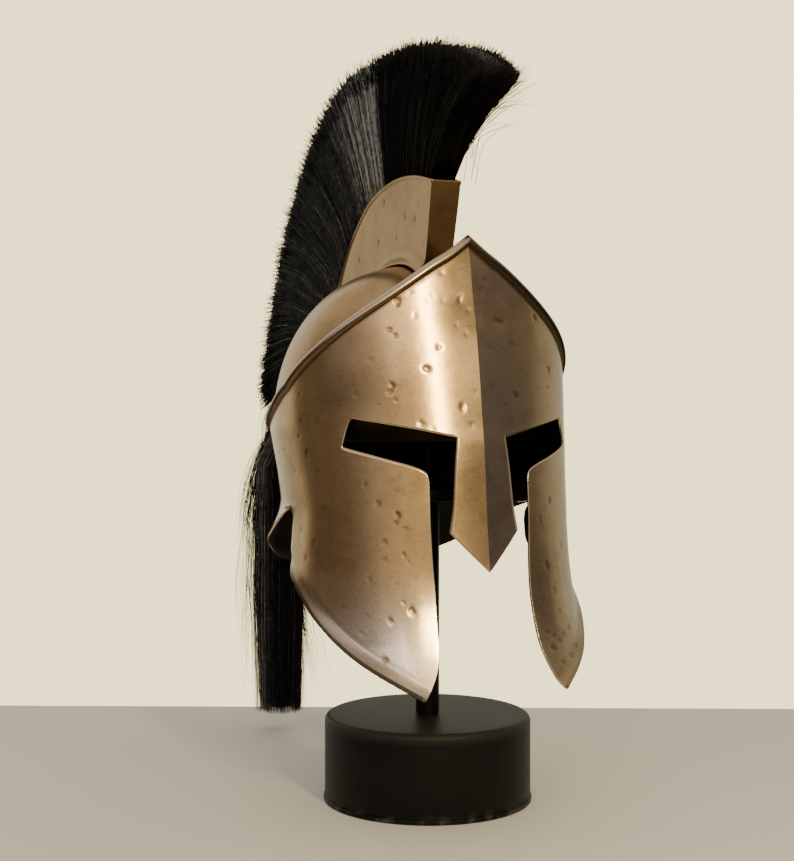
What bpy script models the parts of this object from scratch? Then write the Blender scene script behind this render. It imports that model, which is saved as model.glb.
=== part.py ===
"""Greek bronze helmet with a horsehair crest, on a plain round stand.

Metres, +Z up, the face towards -Y. The origin is the centre of the stand's underside, so the
post stands on the Z axis. The sheet of the helmet is described by two numbers: the bearing
in degrees round the head, 0 at the ridge of the face and 180 at the middle of the nape, and
the height. wall_point turns them into a place on the raised form.
"""
import math

import bmesh
import bpy
import numpy as np

MM = 0.001
GAP = 0.0004              # left between pieces that touch
MERGE = 0.00005           # sheet corners nearer than this are one

# stand
BASE_RADIUS = 0.077
BASE_HEIGHT = 0.0633
BASE_FOOT = (0.0009, 0.0040)   # how far the foot ring stands out, and its height
BASE_ROUND = 0.0044
POST_RADIUS = 0.0088
POST_TOP = 0.3632
PLATE_RADIUS = 0.040
PLATE_LEVELS = (0.2238, 0.2328)
PLATE_BEVEL = 0.001
HEAD_RADIUS = 0.034
HEAD_HEIGHT = 0.024

# sheets
WALL_THICKNESS = 0.0016
BOWL_THICKNESS = 0.0015
BOX_THICKNESS = 0.0014
RIM_LIP = 0.0026          # how far the brow's rolled rim stands out
RIM_DEPTH = 0.0045
CREASE = 0.025            # how far past the middle each cheek arc is centred: it makes the ridge
CHEEK_LIP = 0.0035        # out-turned lower edge of the cheek guards
EAR_TUCK = 0.003          # the cheek guards' edge beside the ear turns in
EAR_TUCK_ABOVE = 172      # mm, where the out-turned edge ends and the ear's edge begins
NECK_FLARE = 0.011
FLARE_BEARINGS = (100, 124)
FLARE_LEVELS = (0.226, 0.182)   # where the neck guard starts to flare, and where it is full

# facets of the sheet: rows down, columns round
BROW_ROWS = 6
TEMPLE_ROWS = 4
CHEEK_ROWS = 15
NASAL_ROWS = 6
GUARD_ROWS = 6
RIDGE_COLUMNS = 3
EYE_COLUMNS = 7
CHEEK_EYE_COLUMNS = 9
SIDE_COLUMNS = 8
NAPE_COLUMNS = 11
EDGE_START = 0.35         # share of the lip that the column before the edge has
MM_PER_DEGREE = 1.9       # a degree of bearing is about this much sheet
BEARING_STEP = 0.5        # degrees to each side, for the outward direction

# level sections of the sheet, mm: height, half width, ridge y, widest y, nape y
SECTIONS = np.array([
    (85, 119, -132, -8, 150), (106, 118, -121, -8, 150), (132, 115, -108, -8, 150),
    (158, 110, -100, -10, 150), (186, 106, -94.5, -13, 150), (214, 104.5, -91.3, -14, 150),
    (240, 106, -89.2, -9, 153), (265, 108.5, -87, -3, 158.5), (280, 110, -84.8, 1, 161),
    (311, 110.5, -80.8, 2, 162), (340, 110, -76.4, 3, 162), (368, 110, -70.8, 4, 162),
    (396, 109, -66, 5, 162), (420, 108, -61.5, 6, 162)])

# outlines on the sheet: (bearing in degrees, height in mm)
RIM = [(0, 415), (7, 404.5), (14, 396), (24, 383), (35, 369.5), (48, 355), (64, 338), (78, 324),
       (93.5, 309.5), (104, 297), (119, 284.5), (140, 277), (160, 275), (180, 274)]
EYE_TOP = [(9.7, 271.5), (26.5, 277.9), (49.5, 284.7)]
EYE_BOTTOM = [(20.9, 240.5), (21.6, 246.5), (24.2, 249.8), (38.3, 257.3), (55.5, 264.7)]
BAND_FOOT = [(49.5, 284.7), (80, 262), (101, 248), (120, 242), (180, 238)]
EAR_LINE = [(55.5, 264.7), (80, 242), (101, 219), (140, 212), (180, 208)]
NASAL_EDGE = [(9.7, 271.5), (11.3, 248.9), (12.6, 224.9), (14.4, 206)]
NASAL_TIP = (0, 178.2)
CHEEK_FRONT = [(20.9, 240.5), (21.3, 213.5), (20.8, 186), (20, 158.5), (19.9, 132), (21, 119),
               (23.9, 105.5), (27.4, 95)]
CHEEK_REAR = [(101, 219), (103, 211), (103.6, 203), (103.4, 191), (101, 181), (95, 172),
              (90, 166.5), (80.2, 157), (72.8, 148.5), (64.6, 139), (56.7, 129), (48.5, 119),
              (41.4, 111), (34.8, 103.5), (28, 95.6)]
GUARD_EDGE = [(101, 219), (105.5, 216), (110, 212.5), (115, 207.5), (118.5, 201.5),
              (122, 195.5), (127, 190.5), (133, 185.5), (140, 178), (149, 170.5), (160, 166),
              (180, 164)]

# skull bowl: half of a rounded-square ellipsoid, longer behind the post than in front of it
BOWL_CENTRE = (0.020, 0.276)   # y, z
BOWL_HALF_WIDTH = 0.1036
BOWL_REACH = (0.082, 0.1338)    # front, back
BOWL_RISE = 0.1237
BOWL_POWER = 2.2
BOWL_SKIRT = 0.008
SKIRT_TAPER = 0.95
BOWL_FACETS = (40, 24)         # round, and from pole to pole of the whole ball

# crest, seen from the side: bearings about the bowl's centre, 0 straight back, 90 up
BOX_HALF_WIDTH = (0.0121, 0.0106)   # at its open edge, at its foot
BOX_FRONT_FOOT = 107.0
BOX_LEAN_FROM = 60.0      # from this bearing forwards the foot lies further forward than the edge
BOX_COLUMNS = (9, 12)     # before that bearing, and behind it
BOX_ROWS = 4
BOX_STAND_OFF = 0.0005    # the crest holder's foot off the bowl
BOX_TABLE = np.array([      # bearing, outer radius in mm
    (3, 158), (15, 159), (30, 161.5), (45, 167.8), (56, 176.8), (65, 183.7),
    (72, 188.3), (80, 190.3), (88, 191), (96, 190.5), (105.4, 189)])
PLUME_TABLE = np.array([    # root bearing, tip bearing, tip radius in mm, half width in mm
    (14, 4, 281, 21), (18, 12, 277, 24), (24, 23, 274, 25), (32, 35, 277, 25), (43, 48, 283, 25),
    (54, 61, 291, 25), (64, 72, 294, 25), (74, 82, 288.5, 24), (83, 92, 285.7, 24),
    (91, 103, 285.5, 23), (98.5, 112, 283, 21), (102.4, 117.6, 278, 18)])
ROOT_DEPTH = 0.010        # how far the hair reaches into the channel
ROOT_HALF_WIDTH = 0.0096
ROOT_CLEAR = 0.012        # the root keeps its width for this length
PLUME_STATIONS = 23
PLUME_SPREAD = [(0.55, 0.66), (0.86, 1.0), (0.96, 0.72), (1.0, 0.3)]   # share out, share of width

# hair that falls behind: centre and half widths of the bunch, mm
TAIL_TABLE = np.array([     # x, y, z, half width across, half width along
    (0, 158, 291, 8.5, 4.5), (0, 172, 291.5, 9.2, 6.5), (-1.5, 192, 290, 11.5, 9.5),
    (-4, 214, 285.5, 14.5, 13), (-7.5, 238, 276.5, 17.5, 17), (-11, 257, 259, 19.5, 19.5),
    (-13, 268, 233, 20, 21), (-13, 271, 195, 20, 21), (-13, 271, 140, 20, 21),
    (-13, 271, 75, 20, 21), (-13, 271, 15.5, 18, 19)])
TAIL_STATIONS = 28
TAIL_SIDES = 14


def clear_scene():
    """Empty the file of objects, so that the script can be run again."""
    for thing in list(bpy.data.objects):
        bpy.data.objects.remove(thing, do_unlink=True)


def make_material(name, colour, roughness, metallic):
    """A plain Principled material."""
    material = bpy.data.materials.new(name)
    material.use_nodes = True
    shader = material.node_tree.nodes["Principled BSDF"]
    shader.inputs["Base Color"].default_value = (*colour, 1.0)
    shader.inputs["Roughness"].default_value = roughness
    shader.inputs["Metallic"].default_value = metallic
    return material


def add_object(name, mesh, material, smooth_angle=40.0):
    """Put a mesh in the collection of the parts, smooth but for its sharp edges."""
    piece = bpy.data.objects.new(name, mesh)
    mesh.materials.append(material)
    mesh.shade_smooth()
    mesh.set_sharp_from_angle(angle=math.radians(smooth_angle))
    PARTS.objects.link(piece)
    return piece


def mesh_of(bm, name, merge=1e-6):
    """Merge what coincides and turn a bmesh into a mesh."""
    bmesh.ops.remove_doubles(bm, verts=bm.verts, dist=merge)
    mesh = bpy.data.meshes.new(name)
    bm.to_mesh(mesh)
    bm.free()
    return mesh


def solidify(piece, thickness):
    """Give a sheet its thickness, inwards."""
    modifier = piece.modifiers.new("thickness", "SOLIDIFY")
    modifier.thickness = thickness
    modifier.offset = -1.0
    modifier.use_even_offset = False


def mirror(piece):
    """Complete a half that is open at X = 0."""
    modifier = piece.modifiers.new("other side", "MIRROR")
    modifier.use_clip = True
    modifier.merge_threshold = 0.0001


def turned(name, profile, material, steps=40):
    """A turned piece: (radius, height) from top to bottom, closed on the axis."""
    mesh = bpy.data.meshes.new(name)
    points = [(radius, 0.0, height) for radius, height in profile]
    mesh.from_pydata(points, [(i, i + 1) for i in range(len(points) - 1)], [])
    piece = add_object(name, mesh, material)
    screw = piece.modifiers.new("turn", "SCREW")
    screw.steps = steps
    screw.render_steps = steps
    screw.use_merge_vertices = True
    screw.merge_threshold = 0.00001
    screw.use_smooth_shade = True
    return piece


def arc(centre, radius, start, end, count):
    """Points of an arc in the (radius, height) plane, angles in degrees."""
    angles = np.radians(np.linspace(start, end, count))
    return [(centre[0] + radius * math.cos(a), centre[1] + radius * math.sin(a)) for a in angles]


def blend(value, low, high):
    """0 at low, 1 at high, with an easy start and end."""
    t = np.clip((value - low) / (high - low), 0.0, 1.0)
    return t * t * (3.0 - 2.0 * t)


def smooth_table(x, column_x, column_y):
    """Read a table with a cubic that has no overshoot (monotone Hermite)."""
    x = np.asarray(x, float)
    cx, cy = np.asarray(column_x, float), np.asarray(column_y, float)
    step = np.diff(cx)
    slope = np.diff(cy) / step
    tangent = np.zeros_like(cy)
    tangent[0], tangent[-1] = slope[0], slope[-1]
    same = slope[:-1] * slope[1:] > 0
    both = np.where(same, slope[:-1] + slope[1:], 1.0)
    tangent[1:-1] = np.where(same, 2.0 * slope[:-1] * slope[1:] / both, 0.0)
    k = np.clip(np.searchsorted(cx, x) - 1, 0, len(cx) - 2)
    t = (x - cx[k]) / step[k]
    a = (1 + 2 * t) * (1 - t) ** 2
    b = t * (1 - t) ** 2
    c = t * t * (3 - 2 * t)
    d = t * t * (t - 1)
    return a * cy[k] + b * step[k] * tangent[k] + c * cy[k + 1] + d * step[k] * tangent[k + 1]


def wall_base(bearing, height):
    """Place on the sheet before its edges are turned, from the level sections."""
    levels = SECTIONS[:, 0]
    half, ridge, widest, nape = (smooth_table(height / MM, levels, SECTIONS[:, i]) * MM
                                 for i in range(1, 5))
    start = np.arcsin(CREASE / (half + CREASE))
    reach = (widest - ridge) / np.cos(start)
    turn = np.radians(bearing)
    quarter = math.pi / 2
    front = start + (quarter - start) * np.minimum(turn, quarter) / quarter
    back = np.maximum(turn, quarter)
    in_front = turn <= quarter
    x = np.where(in_front, (half + CREASE) * np.sin(front) - CREASE, half * np.sin(back))
    y = np.where(in_front, widest - reach * np.cos(front), widest - (nape - widest) * np.cos(back))
    return np.stack([x, y, height + 0.0 * x], axis=-1)


def wall_point(bearing, height, lift=0.0):
    """Place on the sheet: the base form, moved along its level outward normal.

    lift is added to the neck guard's flare and to the turned edges of the cheek guards.
    """
    bearing = np.asarray(bearing, float)
    height = np.asarray(height, float)
    ahead = wall_base(np.minimum(bearing + BEARING_STEP, 180.0), height)
    behind = wall_base(np.maximum(bearing - BEARING_STEP, 0.0), height)
    along = ahead - behind
    normal = np.stack([along[..., 1], -along[..., 0], 0.0 * height], axis=-1)
    normal /= np.linalg.norm(normal, axis=-1, keepdims=True)
    normal[..., 0] = np.where((bearing <= 0.0) | (bearing >= 180.0), 0.0, normal[..., 0])
    full = blend(-height, -FLARE_LEVELS[0], -FLARE_LEVELS[1])
    flare = NECK_FLARE * blend(bearing, *FLARE_BEARINGS) * full
    return wall_base(bearing, height) + normal * (lift + flare)[..., None]


def outline(points, count):
    """count points along an outline, evenly by their share of its length."""
    points = np.array(points, float)
    scaled = points * (MM_PER_DEGREE, 1.0)
    length = np.concatenate([[0], np.cumsum(np.linalg.norm(np.diff(scaled, axis=0), axis=1))])
    at = np.linspace(0, length[-1], count)
    return np.stack([np.interp(at, length, points[:, i]) for i in (0, 1)], axis=-1)


def along_line(points, bearings):
    """Heights of an outline at given bearings, as (bearing, height) rows."""
    points = np.array(points, float)
    bearings = np.asarray(bearings, float)
    return np.stack([bearings, np.interp(bearings, points[:, 0], points[:, 1])], axis=-1)


def coons(top, bottom, left, right):
    """Fill four outlines that share corners; the result is [row, column, (bearing, height)]."""
    rows, columns = len(left), len(top)
    v = np.linspace(0, 1, rows)[:, None, None]
    u = np.linspace(0, 1, columns)[None, :, None]
    sides = (1 - u) * left[:, None] + u * right[:, None]
    ends = (1 - v) * top[None] + v * bottom[None]
    corners = ((1 - v) * ((1 - u) * top[0] + u * top[-1])
               + v * ((1 - u) * bottom[0] + u * bottom[-1]))
    return sides + ends - corners


def add_grid(bm, points, flip=False):
    """Add a grid of points [row, column, xyz] as quads, rows running down and columns round."""
    rows, columns = points.shape[:2]
    verts = [[bm.verts.new(points[r, c]) for c in range(columns)] for r in range(rows)]
    for r in range(rows - 1):
        for c in range(columns - 1):
            quad = [verts[r][c], verts[r + 1][c], verts[r + 1][c + 1], verts[r][c + 1]]
            bm.faces.new(quad[::-1] if flip else quad)


def cheek_lip(rear, columns):
    """Lift of a cheek guard's grid: the last two columns turn out, or in beside the ear."""
    turn = np.where(rear[:, 1] > EAR_TUCK_ABOVE, -EAR_TUCK, CHEEK_LIP)
    turn[0] = 0.0
    share = np.zeros(columns)
    share[-2:] = (EDGE_START, 1.0)
    return turn[:, None] * share[None, :]


def between(upper, lower, rows):
    """Rows of points from one line of the sheet down to another."""
    share = np.linspace(0, 1, rows)[:, None, None]
    return upper[None] * (1 - share) + lower[None] * share


def sheet_patches():
    """The half sheet's patches as (grid of bearing and height, lift) pairs."""
    slot, temple_start, ear, middle = EYE_TOP[0][0], EYE_TOP[-1][0], EAR_LINE[2][0], 180
    side = np.linspace(EAR_LINE[0][0], ear, SIDE_COLUMNS)
    nape = np.linspace(ear, middle, NAPE_COLUMNS)
    brow_bearings = np.concatenate([np.linspace(0, slot, RIDGE_COLUMNS),
                                    np.linspace(slot, temple_start, EYE_COLUMNS)[1:],
                                    np.linspace(temple_start, ear, SIDE_COLUMNS)[1:], nape[1:]])
    foot = along_line([(0, EYE_TOP[0][1])] + EYE_TOP + BAND_FOOT[1:], brow_bearings)
    rim = along_line(RIM, brow_bearings)
    brow = np.concatenate([rim[None], between(rim - (0, RIM_DEPTH / MM), foot, BROW_ROWS)])
    brow_lift = np.zeros(brow.shape[:2])
    brow_lift[0] = RIM_LIP

    ear_line = along_line(EAR_LINE, np.concatenate([side, nape[1:]]))
    temple = between(foot[-len(ear_line):], ear_line, TEMPLE_ROWS)

    cheek_top = np.concatenate([outline(EYE_BOTTOM, CHEEK_EYE_COLUMNS), ear_line[1:SIDE_COLUMNS]])
    front, rear = outline(CHEEK_FRONT, CHEEK_ROWS), outline(CHEEK_REAR, CHEEK_ROWS)
    tip = np.linspace(front[-1], rear[-1], len(cheek_top))
    cheek = coons(cheek_top, tip, front, rear)

    edge = outline(NASAL_EDGE, NASAL_ROWS)
    ridge = np.linspace((0, EYE_TOP[0][1]), NASAL_TIP, NASAL_ROWS)
    nasal = between(ridge, edge, RIDGE_COLUMNS).transpose(1, 0, 2)

    guard_top = ear_line[SIDE_COLUMNS - 1:]
    guard = between(guard_top, outline(GUARD_EDGE, len(guard_top)), GUARD_ROWS)
    level = [(grid, np.zeros(grid.shape[:2])) for grid in (temple, nasal, guard)]
    return [(brow, brow_lift), (cheek, cheek_lip(rear, len(cheek_top)))] + level


def make_helmet_wall():
    """The raised sheet: brow, temples, nasal, cheek guards and neck guard in one."""
    bm = bmesh.new()
    for grid, lift in sheet_patches():
        add_grid(bm, wall_point(grid[..., 0], grid[..., 1] * MM, lift))
    piece = add_object("helmet_wall", mesh_of(bm, "helmet_wall", MERGE), BRONZE)
    mirror(piece)
    solidify(piece, WALL_THICKNESS)
    return piece


def bowl_radius(bearing, half_x=0.0):
    """Distance in the side view from the bowl's centre to its outside, at a distance half_x out."""
    turn = np.radians(bearing)
    reach = np.where(np.cos(turn) > 0, BOWL_REACH[1], BOWL_REACH[0])
    left = 1.0 - (half_x / BOWL_HALF_WIDTH) ** 2
    flat = np.abs(np.cos(turn) / reach) ** BOWL_POWER + np.abs(np.sin(turn) / BOWL_RISE) ** BOWL_POWER
    return (left ** (BOWL_POWER / 2) / flat) ** (1.0 / BOWL_POWER)


def bowl_point(direction):
    """Carry a unit direction to the bowl: an ellipse in plan, a rounded square in height."""
    x, y, z = direction
    reach = BOWL_REACH[1] if y > 0 else BOWL_REACH[0]
    level = math.hypot(x, y)
    scale = (level ** BOWL_POWER + abs(z) ** BOWL_POWER) ** (-1.0 / BOWL_POWER)
    return (x * scale * BOWL_HALF_WIDTH, BOWL_CENTRE[0] + y * scale * reach,
            BOWL_CENTRE[1] + z * scale * BOWL_RISE)


def make_skull_bowl():
    """The bowl over the skull, from the upper half of a ball, with a short skirt below it."""
    bm = bmesh.new()
    bmesh.ops.create_uvsphere(bm, u_segments=BOWL_FACETS[0], v_segments=BOWL_FACETS[1], radius=1.0)
    below = [vert for vert in bm.verts if vert.co.z < -0.01]
    bmesh.ops.delete(bm, geom=below, context="VERTS")
    for vert in bm.verts:
        vert.co = bowl_point(vert.co.normalized())
    rim = [edge for edge in bm.edges if edge.is_boundary]
    skirt = bmesh.ops.extrude_edge_only(bm, edges=rim)
    for item in skirt["geom"]:
        if isinstance(item, bmesh.types.BMVert):
            item.co.x *= SKIRT_TAPER
            item.co.y = BOWL_CENTRE[0] + (item.co.y - BOWL_CENTRE[0]) * SKIRT_TAPER
            item.co.z -= BOWL_SKIRT
    bmesh.ops.recalc_face_normals(bm, faces=bm.faces)
    piece = add_object("skull_bowl", mesh_of(bm, "skull_bowl"), BRONZE)
    solidify(piece, BOWL_THICKNESS)
    return piece


def polar(bearing, radius, x):
    """A place in the crest's side view: bearing about the bowl's centre, radius, distance out."""
    turn = np.radians(bearing)
    return np.stack([x + 0.0 * turn, BOWL_CENTRE[0] + radius * np.cos(turn),
                     BOWL_CENTRE[1] + radius * np.sin(turn)], axis=-1)


def make_crest_box():
    """The crest holder: a folded sheet, its sides on the bowl and its channel open on top."""
    front_end, rear_end = BOX_TABLE[-1, 0], BOX_TABLE[0, 0]
    outer_bearing = np.concatenate([np.linspace(front_end, BOX_LEAN_FROM, BOX_COLUMNS[0]),
                                    np.linspace(BOX_LEAN_FROM, rear_end, BOX_COLUMNS[1])[1:]])
    lean = (BOX_FRONT_FOOT - front_end) * blend(outer_bearing, BOX_LEAN_FROM, 105)
    foot_bearing = outer_bearing + lean
    outer = smooth_table(outer_bearing, BOX_TABLE[:, 0], BOX_TABLE[:, 1]) * MM
    foot = bowl_radius(foot_bearing) + BOX_STAND_OFF
    side = []
    for share in np.linspace(0, 1, BOX_ROWS):
        bearing = outer_bearing * (1 - share) + foot_bearing * share
        half_width = BOX_HALF_WIDTH[0] * (1 - share) + BOX_HALF_WIDTH[1] * share
        side.append(polar(bearing, outer * (1 - share) + foot * share, half_width))
    side = np.array(side)
    front = side[:, :1] * (0.0, 1.0, 1.0)
    bm = bmesh.new()
    add_grid(bm, np.concatenate([front, side], axis=1))
    piece = add_object("crest_box", mesh_of(bm, "crest_box"), BRONZE, 30.0)
    mirror(piece)
    solidify(piece, BOX_THICKNESS)
    return piece


def loop_loft(name, sections, material):
    """Join closed sections [station, point, xyz] into one closed body with flat ends."""
    bm = bmesh.new()
    rings = [[bm.verts.new(point) for point in section] for section in sections]
    count = len(rings[0])
    for a, b in zip(rings[:-1], rings[1:]):
        for i in range(count):
            j = (i + 1) % count
            bm.faces.new((a[i], a[j], b[j], b[i]))
    bm.faces.new(rings[0][::-1])
    bm.faces.new(rings[-1])
    bmesh.ops.triangulate(bm, faces=[f for f in bm.faces if len(f.verts) > 4])
    bmesh.ops.recalc_face_normals(bm, faces=bm.faces)
    return add_object(name, mesh_of(bm, name), material, 60.0)


def make_plume_brush():
    """The upright hair's outer form: a fan that widens from the channel to a rounded crown."""
    stations = np.linspace(0, 1, PLUME_STATIONS)
    order = np.linspace(0, 1, len(PLUME_TABLE))
    root_bearing, tip_bearing, tip_radius, half = (
        smooth_table(stations, order, PLUME_TABLE[:, i]) for i in range(4))
    box_edge = smooth_table(root_bearing, BOX_TABLE[:, 0], BOX_TABLE[:, 1]) * MM
    root = polar(root_bearing, box_edge - ROOT_DEPTH, ROOT_HALF_WIDTH)
    tip = polar(tip_bearing, tip_radius * MM, 0.0)
    clear = ROOT_CLEAR / np.linalg.norm(tip[:, 1:] - root[:, 1:], axis=-1)
    neck = root + (tip - root) * clear[:, None]
    neck[:, 0] = ROOT_HALF_WIDTH
    side = [root, neck]
    for along, wide in PLUME_SPREAD:
        place = root + (tip - root) * along
        place[:, 0] = wide * half * MM
        side.append(place)
    side = np.array(side)
    other = side[::-1] * (-1.0, 1.0, 1.0)
    sections = np.concatenate([side, other]).transpose(1, 0, 2)
    return loop_loft("plume_brush", sections, HAIR)


def make_plume_tail():
    """The long hair that falls behind the helmet, as one rounded bunch along its path."""
    order = np.linspace(0, 1, len(TAIL_TABLE))
    stations = np.linspace(0, 1, TAIL_STATIONS)
    x, y, z, across, along = (smooth_table(stations, order, TAIL_TABLE[:, i]) * MM
                              for i in range(5))
    centre = np.stack([x, y, z], axis=-1)
    course = np.gradient(centre, axis=0)
    course /= np.linalg.norm(course, axis=-1, keepdims=True)
    sideways = np.array([1.0, 0.0, 0.0]) - course * course[:, :1]
    sideways /= np.linalg.norm(sideways, axis=-1, keepdims=True)
    upright = np.cross(course, sideways)
    turns = np.linspace(0, 2 * math.pi, TAIL_SIDES, endpoint=False)[None, :, None]
    sections = (centre[:, None] + np.cos(turns) * (sideways * across[:, None])[:, None]
                + np.sin(turns) * (upright * along[:, None])[:, None])
    return loop_loft("plume_tail", sections, HAIR)


def make_stand():
    """Base, post, plate and the round head that carries the bowl."""
    ring, ring_height = BASE_FOOT
    corner = (BASE_RADIUS - BASE_ROUND, BASE_HEIGHT - BASE_ROUND)
    profile = ([(0.0, BASE_HEIGHT)] + arc(corner, BASE_ROUND, 90, 0, 4)
               + [(BASE_RADIUS, ring_height), (BASE_RADIUS + ring, ring_height),
                  (BASE_RADIUS + ring, 0.0), (0.0, 0.0)])
    turned("stand_base", profile, BLACK, 48)
    post_foot = BASE_HEIGHT + GAP
    turned("stand_post", [(0.0, POST_TOP), (POST_RADIUS, POST_TOP), (POST_RADIUS, post_foot),
                          (0.0, post_foot)], BLACK, 24)
    low, high = PLATE_LEVELS
    bore = POST_RADIUS + GAP
    turned("stand_plate", [(bore, low), (bore, high), (PLATE_RADIUS - PLATE_BEVEL, high),
                           (PLATE_RADIUS, high - PLATE_BEVEL), (PLATE_RADIUS, low), (bore, low)],
           BLACK, 36)
    foot = POST_TOP + GAP
    dome = [(HEAD_RADIUS * math.sin(a), foot + HEAD_HEIGHT * math.cos(a))
            for a in np.radians(np.linspace(0, 80, 8))]
    turned("stand_head", dome + [(HEAD_RADIUS, foot), (0.0, foot)], BLACK, 32)


def build():
    """Make every piece."""
    make_helmet_wall()
    make_skull_bowl()
    make_crest_box()
    make_plume_brush()
    make_plume_tail()
    make_stand()


clear_scene()
PARTS = bpy.data.collections.new("greek_bronze_helmet")
bpy.context.scene.collection.children.link(PARTS)
BRONZE = make_material("antique_bronze", (0.36, 0.24, 0.13), 0.38, 1.0)
HAIR = make_material("black_horsehair", (0.010, 0.010, 0.012), 0.42, 0.0)
BLACK = make_material("satin_black", (0.012, 0.012, 0.013), 0.45, 0.0)
build()
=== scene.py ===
"""The finish of a Greek bronze helmet with a horsehair crest, on its round stand.

Metres, +Z up, the face towards -Y. The raised sheet is described by a bearing in degrees round
the head, 0 at the ridge of the face and 180 at the nape, and a height in millimetres. Every
surface is worked out as a grid of points: wall_point carries (bearing, height, lift) to a place.
Lengths in the tables are in mm, angles in degrees. RIGHT is the helmet's right side (-X), side
-1, LEFT its left, side 1.
"""
import math

import bmesh
import bpy
import numpy as np
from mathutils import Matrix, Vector


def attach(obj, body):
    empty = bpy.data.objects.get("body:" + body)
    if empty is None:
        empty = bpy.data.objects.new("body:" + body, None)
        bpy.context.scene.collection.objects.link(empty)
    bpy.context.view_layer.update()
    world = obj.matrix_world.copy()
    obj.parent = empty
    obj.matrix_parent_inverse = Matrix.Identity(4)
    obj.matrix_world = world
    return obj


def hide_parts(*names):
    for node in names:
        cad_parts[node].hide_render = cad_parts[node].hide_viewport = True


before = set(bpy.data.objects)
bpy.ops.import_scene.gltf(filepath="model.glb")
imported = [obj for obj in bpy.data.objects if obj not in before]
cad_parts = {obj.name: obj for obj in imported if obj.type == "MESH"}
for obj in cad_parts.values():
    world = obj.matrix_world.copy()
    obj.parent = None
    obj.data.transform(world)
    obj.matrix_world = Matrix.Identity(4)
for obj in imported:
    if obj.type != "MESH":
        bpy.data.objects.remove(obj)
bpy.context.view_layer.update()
MM = 0.001

# ---------- dimensions and looks
WALL_THICKNESS, BOWL_THICKNESS, BOX_THICKNESS = 1.6, 1.5, 1.4
CREASE = 25.0              # how far past the middle plane each side's arc has its centre
NECK_FLARE = 11.0
ROLL_RADIUS = 3.3          # the brow's rolled rim
SECTIONS = np.array([      # height, half width, ridge y, widest y, nape y
    (85, 119, -132, -8, 150), (106, 118, -121, -8, 150), (132, 115, -108, -8, 150),
    (158, 110, -100, -10, 150), (186, 106, -94.5, -13, 150), (214, 104.5, -91.3, -14, 150),
    (240, 106, -89.2, -9, 153), (265, 108.5, -87, -3, 158.5), (280, 110, -84.8, 1, 161),
    (311, 110.5, -80.8, 2, 162), (340, 110, -76.4, 3, 162), (368, 110, -70.8, 4, 162),
    (396, 109, -66, 5, 162), (420, 108, -61.5, 6, 162)])
RIM = [(0, 415), (7, 404.5), (14, 396), (24, 383), (35, 369.5), (48, 355), (64, 338), (78, 324),
       (93.5, 309.5), (104, 297), (119, 284.5), (140, 277), (160, 275), (180, 274)]
EYE_TOP = [(9.7, 271.5), (26.5, 277.9), (49.5, 284.7)]
EYE_BOTTOM = [(20.9, 240.5), (21.6, 246.5), (24.2, 249.8), (38.3, 257.3), (55.5, 264.7)]
BAND_FOOT = [(49.5, 284.7), (80, 262), (101, 248), (120, 242), (180, 238)]
EAR_LINE = [(55.5, 264.7), (80, 242), (101, 219), (140, 212), (180, 208)]
NASAL_EDGE = [(9.7, 271.5), (11.3, 248.9), (12.6, 224.9), (14.4, 206)]
NASAL_TIP = (0, 178.2)
CHEEK_FRONT = [(20.9, 240.5), (21.3, 213.5), (20.8, 186), (20, 158.5), (19.9, 132), (21, 119),
               (23.9, 105.5), (27.4, 95)]
CHEEK_REAR = [(101, 219), (103, 211), (103.6, 203), (103.4, 191), (101, 181), (95, 172),
              (90, 166.5), (80.2, 157), (72.8, 148.5), (64.6, 139), (56.7, 129), (48.5, 119),
              (41.4, 111), (34.8, 103.5), (28, 95.6)]
GUARD_EDGE = [(101, 219), (105.5, 216), (110, 212.5), (115, 207.5), (118.5, 201.5),
              (122, 195.5), (127, 190.5), (133, 185.5), (140, 178), (149, 170.5), (160, 166),
              (180, 164)]
BOWL_CENTRE = (20.0, 276.0)    # y, z
BOWL_HALF_WIDTH, BOWL_RISE, BOWL_POWER = 103.6, 123.7, 2.2
BOWL_REACH = (82.0, 133.8)     # in front and behind
BOWL_SKIRT, SKIRT_TAPER = 8.0, 0.95
BOX_HALF_WIDTH = (12.1, 10.6)  # at its top and foot
BOX_FRONT_FOOT, BOX_LEAN_FROM = 107.0, 60.0   # bearings about the bowl's centre
BOX_TABLE = np.array([     # bearing, radius of the upper edge
    (3, 158), (15, 159), (30, 161.5), (45, 167.8), (56, 176.8), (65, 183.7), (72, 188.3),
    (80, 190.3), (88, 191), (96, 190.5), (105.4, 189)])
PLUME_TABLE = np.array([   # root bearing, tip bearing, tip radius, half width
    (14, 4, 281, 21), (18, 12, 277, 24), (24, 23, 274, 25), (32, 35, 277, 25), (43, 48, 283, 25),
    (54, 61, 291, 25), (64, 72, 294, 25), (74, 82, 288.5, 24), (83, 92, 285.7, 24),
    (91, 103, 285.5, 23), (98.5, 112, 283, 21), (102.4, 117.6, 278, 18)])
ROOT_DEPTH, ROOT_HALF_WIDTH = 10.0, 9.2    # where the hair starts in the holder
TAIL_TABLE = np.array([    # x, y, z, half width across, half width along
    (0, 158, 291, 8.5, 4.5), (0, 172, 291.5, 9.2, 6.5), (-1.5, 192, 290, 11.5, 9.5),
    (-4, 214, 285.5, 14.5, 13), (-7.5, 238, 276.5, 17.5, 17), (-11, 257, 259, 19.5, 19.5),
    (-13, 268, 233, 20, 21), (-13, 271, 195, 20, 21), (-13, 271, 140, 20, 21),
    (-13, 271, 75, 20, 21), (-13, 271, 15.5, 18, 19)])

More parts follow.
